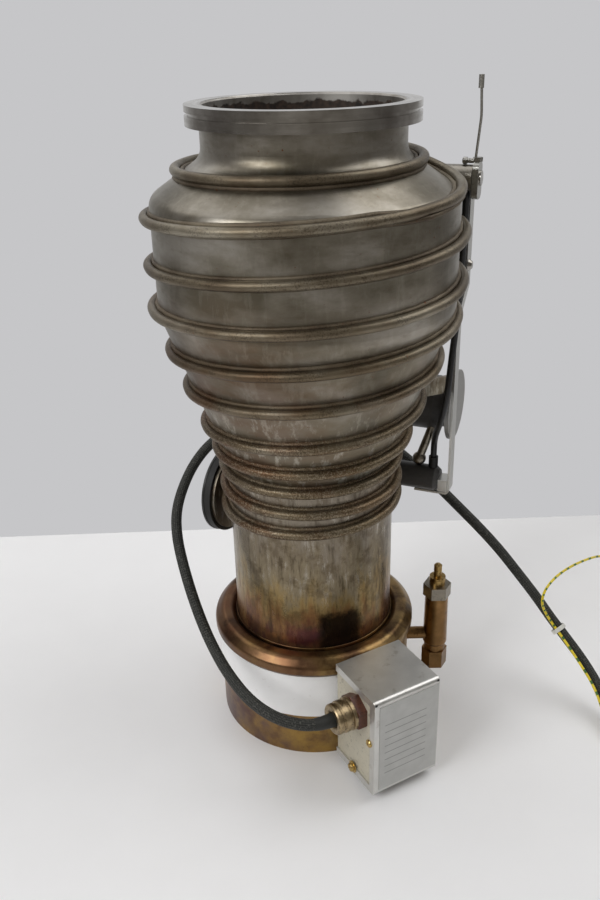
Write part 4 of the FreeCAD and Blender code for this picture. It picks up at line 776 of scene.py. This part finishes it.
def burnt_steel():
    """Scratched and tinted steel with the burnt patches."""
    material, tree, shader, place = new_material("heat-tinted stainless steel")
    height = add(tree, "ShaderNodeSeparateXYZ", {0: place}).outputs["Z"]
    longer = add(tree, "ShaderNodeVectorMath", {0: place, 1: (1, 1, 0.16)}, operation="MULTIPLY")
    scratches = add(tree, "ShaderNodeTexNoise", {
        "Vector": longer, "Scale": 1 / mm(5), "Detail": 12.0, "Roughness": 0.75})
    rubbed = where(tree, height, mm(120), mm(180), blotches(tree, place, 26, 0.42, 0.6, 4.0))
    tone = heat_tint(tree, place)
    tone = lay_over(tree, tone, where(tree, scratches, 0.52, 0.68, rubbed), 0.75, "#bdb8ae")
    tone = lay_over(tree, tone, blotches(tree, place, 15, 0.48, 0.62, 9.0, 0.68), 0.5, "#514330")
    tone = lay_over(tree, tone, where(tree, scratches, 0.5, 0.36), 0.6, "#3f3425")
    tone, torn_level = burn(tree, place, tone)
    rough = add(tree, "ShaderNodeMapRange", {
        "Value": scratches, "From Min": 0.3, "From Max": 0.7, "To Min": 0.42, "To Max": 0.2})
    metal = add(tree, "ShaderNodeMapRange", {
        "Value": torn_level, "From Min": metal_start, "From Max": metal_full,
        "To Min": 0.45, "To Max": 0.95})
    bump = add(tree, "ShaderNodeBump", {
        "Height": scratches, "Strength": 0.3, "Distance": mm(0.12)})
    feed(tree, shader, {"Base Color": tone, "Roughness": rough, "Metallic": metal,
                        "Normal": bump})
    return material


finish_with(burnt_steel(), "barrel_tube")


# %% [markdown]
# The jacket and its spun top ring are thin steel that the heat has turned bronze: brown at the
# left, gold at the right, with violet clouds and dark specks. Spinning leaves fine rings, which
# draw the highlight out sideways. They are made as on the flange, by noise over radius and height.
# The real rings are about 0.5 mm apart and drawn at 1.2 mm.

# %% Heat-tinted sheet
spun_rings = mm(1.2)


def tinted_sheet(name, stops, violet, share, relief):
    """Sheet steel that changes colour from left to right; relief is how much its rings stand."""
    material, tree, shader, place = new_material(name, Metallic=0.95)
    split = add(tree, "ShaderNodeSeparateXYZ", {0: place})
    cloud = add(tree, "ShaderNodeTexNoise", {
        "Vector": place, "Scale": 1 / mm(32), "Detail": 7.0, "Roughness": 0.55})
    drift = add(tree, "ShaderNodeMapRange", {
        "Value": cloud, "From Min": 0.25, "From Max": 0.75, "To Min": 0.2, "To Max": 0.8})
    rightward = add(tree, "ShaderNodeMath", {0: split.outputs["X"], 1: 2.2, 2: drift},
                    operation="MULTIPLY_ADD")
    tone = add(tree, "ShaderNodeValToRGB", {"Fac": rightward}, stops)
    tone = lay_over(tree, tone, blotches(tree, place, 19, 0.42, 0.7, 8.0, 0.6), share, violet)
    tone = lay_over(tree, tone, blotches(tree, place, 1.6, 0.6, 0.7, 5.0, 0.7), 0.5, "#2d2018")
    along = add(tree, "ShaderNodeMath", {0: reach_of(tree, place), 1: split.outputs["Z"]},
                operation="ADD")
    rings = add(tree, "ShaderNodeTexNoise", {"W": along, "Scale": 1 / spun_rings, "Detail": 4.0},
                noise_dimensions="1D")
    rough = add(tree, "ShaderNodeMapRange", {"Value": rings, "To Min": 0.27, "To Max": 0.45})
    bump = add(tree, "ShaderNodeBump", {
        "Height": rings, "Strength": relief, "Distance": mm(0.2)})
    feed(tree, shader, {"Base Color": tone, "Roughness": rough, "Normal": bump})
    return material


bronze = tinted_sheet("heat-tinted spun ring", (
    (0.2, "#6c4b35"), (0.4, "#785b41"), (0.56, "#866a45"), (0.72, "#937a50"),
), violet="#3b281d", share=0.85, relief=0.08)
gold_sheet = tinted_sheet("heat-tinted jacket steel", (
    (0.2, "#705a52"), (0.36, "#8f734c"), (0.52, "#a8884c"), (0.8, "#9a7e4e"),
), violet="#4d323a", share=0.6, relief=0.15)
finish_with(bronze, "jacket_ring")
finish_with(gold_sheet, "jacket", "base_cover")


# %% [markdown]
# The small parts need no layers of their own. Each has one colour with a slight clouding, worn or
# dirty by a second colour, because nothing on a used pump is one even tone. One maker gives them
# all, and its values say what the part is made of: how rough, how metallic, how mottled, at which
# size, and how deep its grain is.

# %% Finish of a small part
def plain_finish(name, code, roughness, metallic=0.0, mottle=0.15, size=8.0, wear=None, grain=0.0):
    """Size and grain are in millimetres; wear is a second colour and how far it reaches."""
    material, tree, shader, place = new_material(name, Metallic=metallic)
    cloud = add(tree, "ShaderNodeTexNoise", {
        "Vector": place, "Scale": 1 / mm(size), "Detail": 6.0, "Roughness": 0.55})
    shade = add(tree, "ShaderNodeMapRange", {
        "Value": cloud, "From Min": 0.3, "From Max": 0.7, "To Min": 1 - mottle,
        "To Max": 1 + mottle})
    tone = add(tree, "ShaderNodeVectorMath", {0: colour(code)[:3], "Scale": shade},
               operation="SCALE")
    if wear:
        worn_code, reach = wear
        worn = blotches(tree, place, size * 0.6, 0.62 - reach * 0.2, 0.72 - reach * 0.2, 7.0, 0.65)
        tone = lay_over(tree, tone, worn, 0.8, worn_code)
    rough = add(tree, "ShaderNodeMapRange", {
        "Value": cloud, "To Min": roughness * 0.8, "To Max": roughness * 1.2})
    feed(tree, shader, {"Base Color": tone, "Roughness": rough})
    if grain:
        grains = add(tree, "ShaderNodeTexNoise", {
            "Vector": place, "Scale": 1 / mm(size * 0.2), "Detail": 6.0, "Roughness": 0.55})
        bump = add(tree, "ShaderNodeBump", {
            "Height": grains, "Strength": 0.4, "Distance": mm(grain)})
        feed(tree, shader, {"Normal": bump})
    return material


print("plain finishes can be mixed")


# %% [markdown]
# Aluminium is the palest metal on the pump. Bare sheet gives a soft even grey, the brushed cover
# is a little brighter with dull thumb marks, and sand-cast parts scatter the light like fine
# sandpaper. An image of brushing would show only from close by, so the gloss alone tells them
# apart.

# %% Aluminium
bare_aluminium = plain_finish("bare aluminium sheet", "#c4c3bf", 0.34, metallic=1.0, mottle=0.05,
                              size=24)
cover_sheet = plain_finish("brushed aluminium sheet", "#d2d1cd", 0.38, metallic=0.88, mottle=0.07,
                           size=16, wear=("#bab7b0", 0.2))
cast_aluminium = plain_finish("sand-cast aluminium", "#a3a2a0", 0.55, metallic=0.8, mottle=0.1,
                              size=3, grain=0.1)
finish_with(cover_sheet, "box_cover")
finish_with(bare_aluminium, "side_plate", "foot_block", "jet_lower", "jet_middle", "jet_upper",
            "jet_cap")
finish_with(cast_aluminium, "valve_flange")


# %% [markdown]
# The plate on the box's front is an empty form: thin rules on satin anodised aluminium, with
# nothing between them. The anodised film is dull and a little milky, so the eye sees a flat grey
# beside the brighter cover. The rules could be cut as grooves. They are print, which has no depth,
# so they are a mask over height, closed in by a frame.

# %% Ruled plate
rule_spacing = mm(7.5)


def ruled_plate():
    """A satin plate printed with rules."""
    material, tree, shader, place = new_material("satin anodised plate", Metallic=0.6,
                                                 Roughness=0.42)
    height = add(tree, "ShaderNodeSeparateXYZ", {0: place}).outputs["Z"]
    along = add(tree, "ShaderNodeVectorMath", {0: place, 1: box_right}, operation="DOT_PRODUCT")
    count = add(tree, "ShaderNodeMath", {0: height, 1: 1 / rule_spacing}, operation="MULTIPLY")
    between = add(tree, "ShaderNodeMath", {0: count}, operation="FRACT")
    rules = where(tree, between, 0.13, 0.09)
    for value, outside, inside in (
        (along, -23, -22.6), (along, 20, 19.6), (height, 26, 26.4), (height, 84, 83.6),
    ):
        rules = where(tree, value, mm(outside), mm(inside), rules)
    tone = clouded(tree, place, 14, ((0.3, "#b3b3b0"), (0.7, "#bfbfbc")))
    feed(tree, shader, {"Base Color": lay_over(tree, tone, rules, 0.55, "#5b5b5a")})
    return material


finish_with(ruled_plate(), "rating_plate")


# %% [markdown]
# Brass parts show their age by how yellow they still are. The fill tube sits in the heat and has
# gone brown, the screws are still bright, the plug is handled and worn, and the gland has dirt in
# its grooves. All have a metal's own coloured highlight, so they differ in colour and wear only.

# %% Brass
aged_brass = plain_finish("aged brass", "#80623f", 0.3, metallic=1.0, mottle=0.3, size=16,
                          wear=("#4f3b28", 0.2))
bright_brass = plain_finish("bright brass", "#bfa468", 0.24, metallic=1.0, mottle=0.1, size=3,
                            wear=("#8a7040", 0.3))
worn_brass = plain_finish("worn brass", "#a58a58", 0.3, metallic=1.0, mottle=0.2, size=4,
                          wear=("#5f4c2e", 0.5))
gland_brass = plain_finish("dull gland brass", "#a08e70", 0.34, metallic=1.0, mottle=0.2, size=3,
                           wear=("#5c5140", 0.5))
finish_with(aged_brass, "fill_tube", "drain_cap")
finish_with(bright_brass, "coil_inlet_nut", "coil_outlet_nut", "earth_screw", "shaft_bearing")
finish_with(worn_brass, "fill_plug")
finish_with(gland_brass, "gland_nut")


# %% [markdown]
# The grey metals are told apart by their warmth. Oiled steel is dark with brown rests of oil, zinc
# plate is a pale cold grey that dulls in spots, and nickel plate is warmer and darker than both
# aluminium and zinc. The heater's iron is scaled by glowing and has hardly a highlight.

# %% Plated and oiled steel
dark_steel = plain_finish("oiled dark steel", "#8a8377", 0.34, metallic=1.0, mottle=0.1, size=5,
                          wear=("#5a544a", 0.3))
zinc_steel = plain_finish("zinc-plated steel", "#b4b3ae", 0.3, metallic=1.0, mottle=0.08, size=3,
                          wear=("#7f7b73", 0.4))
nickel = plain_finish("dull nickel plate", "#9d988f", 0.32, metallic=1.0, mottle=0.1, size=5,
                      wear=("#77726a", 0.4))
scaled_iron = plain_finish("scaled iron", "#403c38", 0.7, metallic=0.3, mottle=0.3, size=5,
                           grain=0.3)
finish_with(dark_steel, "fill_nut", "link_tube", "jet_tie_rod", "heater_clamp")
finish_with(zinc_steel, "lever_hub", "lever_rod")
finish_with(nickel, "shaft_boss", "valve_plate")
finish_with(scaled_iron, "heater_plate")


# %% [markdown]
# Paint and enamel hide the metal, so none of these is metallic but the thin chassis paint, which
# lets a little of it through. The white band is enamel with a soft shine, the chassis is
# cream-grey paint with dirty patches, the castings are dull dark grey, and the port's cover is
# black stove enamel.

# %% Paint and enamel
white_enamel = plain_finish("white enamel band", "#f3f3f3", 0.42, mottle=0.03, size=20,
                            wear=("#cfccc6", 0.1))
cream_paint = plain_finish("cream-grey chassis paint", "#c0baa8", 0.45, metallic=0.2, mottle=0.05,
                           size=6, wear=("#8b8474", 0.3))
housing_paint = plain_finish("dark grey casting paint", "#434241", 0.5, size=3, grain=0.1)
black_enamel = plain_finish("black stove enamel", "#222221", 0.42, mottle=0.1, size=6)
finish_with(white_enamel, "label_band")
finish_with(cream_paint, "box_chassis")
finish_with(housing_paint, "valve_body", "pull_cylinder")
finish_with(black_enamel, "port_cap")


# %% [markdown]
# The last parts are rubber, moulded plastic, ceramic and wool. Rubber is the dullest black, and
# the sleeve's is greyer and grained. Moulded parts are smoother and catch a soft highlight, and
# the spacer's red-brown resin has sooty patches. Glazed ceramic shines, and mineral wool shows
# only its tufts.

# %% Rubber, plastic, ceramic and wool
# Black rubber also gives the painted shade inside the box's bend reliefs.
rubber = plain_finish("black rubber", "#141413", 0.6, mottle=0.25, size=3)
relief_rubber = plain_finish("grey sleeve rubber", "#252623", 0.65, mottle=0.3, size=2, grain=0.2)
brown_moulding = plain_finish("dark red-brown moulding", "#5a3222", 0.38, mottle=0.25, size=4,
                              wear=("#2a1712", 0.5))
mineral_wool = plain_finish("mineral wool", "#c9c0aa", 0.95, mottle=0.2, size=3, grain=0.8)
finish_with(rubber, "port_rubber", "cable_boot", "valve_seal")
finish_with(brown_moulding, "gland_spacer")
finish_with(mineral_wool, "insulation_sleeve")
finish_with(plain_finish("black cable jacket", "#171718", 0.4), "control_cable")
finish_with(plain_finish("black plug moulding", "#1c1c1d", 0.45), "lead_plug")
finish_with(plain_finish("glazed ceramic", "#e2ddcf", 0.2), "terminal_block")
finish_with(plain_finish("clear nylon", "#d6d6cf", 0.3), "cable_tie")


# %% [markdown]
# Screws, nuts and the gland are turned parts. A profile could be spun round an axis, which leaves
# a seam to merge. Here each starts as a filled circle, and its edge is extruded and resized ring
# by ring, as a lathe cuts it, so it is closed from the start. It is then stood on its place.

# %% Turned parts
def turned_part(name, rings, place, direction, sides=48, sharp=30):
    """A lathe part from (radius, distance) rings in millimetres, standing on a place."""
    bpy.ops.object.select_all(action="DESELECT")
    first_reach, first_level = rings[0]
    bpy.ops.mesh.primitive_circle_add(vertices=sides, radius=mm(first_reach), fill_type="NGON",
                                      location=(0, 0, mm(first_level)))
    piece = bpy.context.object
    piece.name = name
    bpy.ops.object.transform_apply(location=True, rotation=False, scale=False)
    bpy.ops.object.mode_set(mode="EDIT")
    for (reach, level), (next_reach, next_level) in zip(rings, rings[1:]):
        bpy.ops.mesh.extrude_region_move(
            TRANSFORM_OT_translate={"value": (0, 0, mm(next_level - level))})
        share = next_reach / reach
        bpy.ops.transform.resize(value=(share, share, 1), center_override=(0, 0, mm(next_level)))
    bpy.ops.mesh.select_all(action="SELECT")
    bpy.ops.mesh.normals_make_consistent(inside=False)
    bpy.ops.object.mode_set(mode="OBJECT")
    bpy.ops.object.shade_smooth_by_angle(angle=math.radians(sharp))
    standing = Vector(direction).to_track_quat("Z", "Y").to_matrix().to_4x4()
    piece.matrix_world = Matrix.Translation(place) @ standing
    bpy.ops.object.transform_apply(location=True, rotation=True, scale=True)
    return piece


print("turned parts can be made")


# %% [markdown]
# The gland nut is brass with a flange, a grooved grip and a rolled end, all worn, so its edges get
# a small bevel that catches the light. The lead leaves it through a short tapered sleeve that
# keeps the bend open. The sleeve is a cord on the first stretch of the lead's own line, so it
# bends exactly with it.

# %% Gland nut and strain relief
chassis_half_width, spacer_length = 31.5, 8.5
gland_face = chassis_half_width + spacer_length
sleeve_radii = (6.4, 5.9, 5.15)
gland_nut = turned_part("ribbed_gland_nut", [
    (14.4, 0.05), (14.4, 3), (12.2, 3.6), (12.2, 5), (13.9, 5.8), (13.9, 10.6), (12.4, 11.4),
    (12.4, 12.6), (13.5, 13.3), (13.5, 16.4), (12.3, 17.9), (8.6, 17.9), (7.2, 16.6), (5.4, 12),
], on_box(-gland_face, gland_outward, gland_height), -box_right)
worn_edges = gland_nut.modifiers.new("worn_edges", "BEVEL")
worn_edges.width = mm(0.35)
worn_edges.segments = 2
bpy.context.view_layer.objects.active = gland_nut
bpy.ops.object.modifier_apply(modifier="worn_edges")
fit(gland_nut, gland_brass, replaced=("gland_nut",))

relief_route = [lead_route[0], lead_route[1], (lead_route[1] + lead_route[2]) / 2]
relief = cord_curve("strain_relief", relief_route, lead_radius)
for control, thickness in zip(relief.data.splines[0].points, sleeve_radii):
    control.radius = mm(thickness)
as_mesh(relief)
fit(relief, relief_rubber)
print("gland nut", len(gland_nut.data.polygons), "faces")


# %% [markdown]
# The box has a slotted brass earth screw on a washer and a brass cover screw in each lip. A slot
# could be painted as a dark line. It is cut out with a block instead, because its lit edge is what
# makes a head a few millimetres wide read as a screw.

# %% Screws of the terminal box
box_back = 95.6
cover_half_width = 33


def slotted(piece, place, direction, length, width, depth, along):
    """Cut a screwdriver slot across the head that ends at this place."""
    bpy.ops.object.select_all(action="DESELECT")
    bpy.ops.mesh.primitive_cube_add(size=1)
    cutter = bpy.context.object
    side = Vector(direction).cross(along).normalized()
    turn = Matrix((Vector(along).normalized(), side, Vector(direction))).transposed().to_4x4()
    grow = Matrix.Diagonal((mm(length), mm(width), mm(depth) * 2, 1))
    cutter.matrix_world = Matrix.Translation(place) @ turn @ grow
    bpy.ops.object.transform_apply(location=True, rotation=True, scale=True)
    cut = piece.modifiers.new("slot", "BOOLEAN")
    cut.object = cutter
    cut.operation = "DIFFERENCE"
    bpy.context.view_layer.objects.active = piece
    bpy.ops.object.modifier_apply(modifier="slot")
    bpy.data.objects.remove(cutter)


earth_place = on_box(-cover_half_width, box_back + 27.8, 14.4)
earth_head = turned_part("earth_screw_head", [
    (5.5, 0), (5.5, 0.7), (4.4, 1.0), (3.9, 1.1), (3.9, 2.6), (3.3, 3.4), (1.6, 3.8),
], earth_place, -box_right, 40)
slotted(earth_head, earth_place - box_right * mm(3.8), -box_right, 9, 1, 1.1,
        Vector((0, 0, 1)) + box_outward * 0.6)
fit(earth_head, bright_brass, replaced=("earth_screw",))

for name, side in (("cover_screw_left", -1), ("cover_screw_right", 1)):
    place = on_box(cover_half_width * side, box_back + 53.5, 62.3)
    head = turned_part(name, [(3.6, 0), (3.6, 0.9), (2.9, 1.7), (1.3, 2.0)], place,
                       box_right * side, 32)
    slotted(head, place + box_right * side * mm(2.0), box_right * side, 8, 0.9, 0.7,
            Vector((0, 0, 1)) + box_outward * 0.3)
    fit(head, bright_brass)
    print(name, len(head.data.polygons), "faces")


# %% [markdown]
# At the box's two top corners the folded sheet has bend reliefs, small holes that let it fold
# without tearing. Real holes would mean changing the construction model's sheet. From outside
# each is only the dark shade inside a hole, so it is a flat dark disc on the sheet: painted shade.

# %% Painted shade of the bend reliefs
for name, side in (("bend_relief_shade_left", -1), ("bend_relief_shade_right", 1)):
    hole = turned_part(name, [(1.3, 0.02), (1.2, 0.08)], on_box(31.4 * side, 156.6, 107.2),
                       box_outward, 24)
    # Black rubber finish, used here as painted shade for the inside of the hole.
    fit(hole, rubber)
    print(name, len(hole.data.polygons), "faces")


# %% [markdown]
# The spun ring ends in a thin upturned lip against the boiler tube. It could be turned like the
# screws, but it has no floor and no top. A thin ring with a round section, stretched upright, gives
# the same rolled edge and is closed.

# %% Lip of the spun ring
lip_radius, lip_half_width, lip_middle = mm(74.3), mm(0.6), mm(104.6)
lip_upright = 3.6
bpy.ops.object.select_all(action="DESELECT")
bpy.ops.mesh.primitive_torus_add(major_radius=lip_radius, minor_radius=lip_half_width,
                                 major_segments=192, minor_segments=16)
ring_lip = bpy.context.object
ring_lip.name = "ring_lip"
bpy.ops.object.mode_set(mode="EDIT")
bpy.ops.mesh.select_all(action="SELECT")
bpy.ops.transform.resize(value=(1, 1, lip_upright), center_override=(0, 0, 0))
bpy.ops.transform.translate(value=(0, 0, lip_middle))
bpy.ops.object.mode_set(mode="OBJECT")
bpy.ops.object.shade_smooth()
fit(ring_lip, bronze)
print("lip", len(ring_lip.data.polygons), "faces")


# %% [markdown]
# The lever's hub is split and drawn tight on its shaft by a clamp screw. The screw turns with the
# lever, so it rides on that body. The valve's side of the pump stands turned by 22 degrees, and
# its place is given in those directions.

# %% Clamp screw of the lever
side_angle = math.radians(-22)
side_out = Vector((math.cos(side_angle), math.sin(side_angle), 0))
side_back = Vector((-math.sin(side_angle), math.cos(side_angle), 0))
clamp_place = side_out * mm(114.4) + side_back * mm(87) + mm(0, 0, 507.5)
clamp = turned_part("hub_clamp_screw", [(2.0, 0), (2.0, 6), (2.9, 6.2), (2.9, 9), (2.3, 9.8)],
                    clamp_place, -side_out, 24)
fit(clamp, zinc_steel, body="valve_lever")
print("clamp screw", len(clamp.data.polygons), "faces")


# %% [markdown]
# The lead has a woven glass-fibre sleeve, dark olive with age and paler where it is rubbed. The eye
# sees a dull cord with a fine crossing pattern. Real strands could be modelled, at thousands of
# faces a centimetre. Here the weave is two sets of bands that wind round the cord both ways, drawn
# on its own UV: U runs along it and V round it, so it never slides. The real weave repeats about
# every 2 mm and is drawn at 4 mm.

# %% Woven lead
weave_pitch = mm(4)


def along_and_round(tree, length, radius, pitch):
    """The cord's UV counted in repeats of a pitch in metres, along it and round it."""
    cord_uv = add(tree, "ShaderNodeTexCoord").outputs["UV"]
    split = add(tree, "ShaderNodeSeparateXYZ", {0: cord_uv})
    around_count = max(1, round(2 * math.pi * radius / pitch))
    along = add(tree, "ShaderNodeMath", {0: split.outputs["X"], 1: round(length / pitch)},
                operation="MULTIPLY")
    around = add(tree, "ShaderNodeMath", {0: split.outputs["Y"], 1: around_count},
                 operation="MULTIPLY")
    return along, around


def woven_sleeve():
    """Crossing bands with pale broken strands."""
    material, tree, shader, place = new_material("woven glass-fibre sleeve", Roughness=0.7)
    along, around = along_and_round(tree, lead_length, lead_radius, weave_pitch)
    bands = []
    for way in (1, -1):
        count = add(tree, "ShaderNodeMath", {0: around, 1: way, 2: along},
                    operation="MULTIPLY_ADD")
        phase = add(tree, "ShaderNodeMath", {0: count, 1: 2 * math.pi}, operation="MULTIPLY")
        bands.append(add(tree, "ShaderNodeMath", {0: phase}, operation="SINE"))
    crossing = add(tree, "ShaderNodeMath", {0: bands[0], 1: bands[1]}, operation="MULTIPLY")
    weave = where(tree, crossing, -0.7, 0.7)
    tone = add(tree, "ShaderNodeValToRGB", {"Fac": weave}, (
        (0.0, "#0c0d0b"), (0.5, "#1f201d"), (1.0, "#383934")))
    strands = blotches(tree, place, 1.4, 0.54, 0.64, 4.0, 0.7)
    tone = lay_over(tree, tone, strands, 0.7, "#64645d")
    tone = lay_over(tree, tone, blotches(tree, place, 9, 0.5, 0.7, 7.0), 0.25, "#45453f")
    bump = add(tree, "ShaderNodeBump", {"Height": weave, "Strength": 0.5, "Distance": mm(0.5)})
    feed(tree, shader, {"Base Color": tone, "Normal": bump})
    return material


lead.data.materials.append(woven_sleeve())
print("weave of", round(lead_length / weave_pitch), "repeats")


# %% [markdown]
# The earth wire has a smooth plastic sleeve, yellow with a green stripe. On the thin wire the eye
# only catches the stripe as short dashes where it comes round, so dashes are drawn on one side of
# the cord's UV. A real twist would be too fine to show.

# %% Striped earth wire
dash_pitch = mm(12)


def striped_wire():
    """Yellow with green dashes along one side."""
    material, tree, shader, place = new_material("earth wire sleeve", Roughness=0.38)
    along, around = along_and_round(tree, wire_length, wire_radius, dash_pitch)
    in_repeat = add(tree, "ShaderNodeMath", {0: along}, operation="FRACT")
    in_round = add(tree, "ShaderNodeMath", {0: around}, operation="FRACT")
    dashes = where(tree, in_round, 0.45, 0.4, where(tree, in_repeat, 0.66, 0.7))
    tone = clouded(tree, place, 12, ((0.3, "#d9c01c"), (0.7, "#ecd52f")))
    feed(tree, shader, {"Base Color": lay_over(tree, tone, dashes, 1.0, "#3d6b2c")})
    return material


earth_wire.data.materials.append(striped_wire())
print("wire with", round(wire_length / dash_pitch), "dashes")


# %% [markdown]
# The pump stands on a pale matt table top that ends behind it. The far edge runs a little askew to
# the camera, so a plain rectangle won't do. A square is cut along the two edges and what lies
# outside them is taken away.

# %% Table
front_edge, far_left, far_right, table_width = -1.2, 0.26, 0.3885, 4
askew = (far_right - far_left) / table_width
bpy.ops.object.select_all(action="DESELECT")
bpy.ops.mesh.primitive_plane_add(size=table_width)
table = bpy.context.object
table.name = "table"
bpy.ops.object.mode_set(mode="EDIT")
for edge, outward in (
    ((0, front_edge, 0), (0, -1, 0)), ((0, (far_left + far_right) / 2, 0), (-askew, 1, 0)),
):
    bpy.ops.mesh.select_all(action="SELECT")
    bpy.ops.mesh.bisect(plane_co=edge, plane_no=outward, clear_outer=True)
bpy.ops.object.mode_set(mode="OBJECT")
table.data.materials.append(
    plain_finish("matt white table", "#f2f2f3", 0.6, mottle=0.01, size=60))
print("table", len(table.data.vertices), "corners")


# %% [markdown]
# Polished metal shows what is round it. A world of one even grey would make the steel flat, so the
# room is darker on the camera's side and pale behind the pump, as a real one is. The camera itself
# sees a plain grey wall.

# %% Room
world = bpy.data.worlds.new("room")
bpy.context.scene.world = world
world.use_nodes = True
room = world.node_tree
facing = add(room, "ShaderNodeTexCoord").outputs["Generated"]
depth = add(room, "ShaderNodeSeparateXYZ", {0: facing}).outputs["Y"]
toward = add(room, "ShaderNodeMapRange", {"Value": depth, "From Min": -1.0, "From Max": 1.0})
walls = add(room, "ShaderNodeValToRGB", {"Fac": toward}, (
    (0.0, "#8f8b85"), (0.28, "#6a6763"), (0.5, "#6a6765"), (0.76, "#8c8a89"), (0.9, "#bababa"),
    (1.0, "#d2d2d3")))
seen = add(room, "ShaderNodeLightPath").outputs["Is Camera Ray"]
blend = add(room, "ShaderNodeMix", {0: seen, 6: walls, 7: colour("#c6c6c8")}, data_type="RGBA")
feed(room, room.nodes["Background"], {"Color": blend, "Strength": 1.0})
print("room with", len(room.nodes), "nodes")


# %% [markdown]
# A window at the left, a broad ceiling light behind and a fill at the right give soft highlights
# down both sides of the body. Small lamps would make hard dots on the metal, so all three are
# large squares.

# %% Lamps
def softbox(name, place, aim, size, power):
    """A square area lamp at a place, aimed at a point."""
    data = bpy.data.lights.new(name, "AREA")
    data.size = size
    data.energy = power
    lamp = bpy.data.objects.new(name, data)
    lamp.location = place
    lamp.rotation_euler = (Vector(aim) - Vector(place)).to_track_quat("-Z", "Y").to_euler()
    bpy.context.collection.objects.link(lamp)
    print(name, power, "W")


softbox("window", (-1.5, -1.3, 1.6), (0, 0, 0.3), 1.2, 27)
softbox("ceiling", (-0.9, 0.8, 2.3), (0, 0, 0.1), 2.4, 18)
softbox("right_fill", (1.5, 0.3, 2.2), (0.3, 0, 0), 2.0, 28)
bpy.context.scene.view_settings.view_transform = "Standard"


# %% [markdown]
# Last, the view layer is brought up to date.

# %% Update the view layer
bpy.context.view_layer.update()
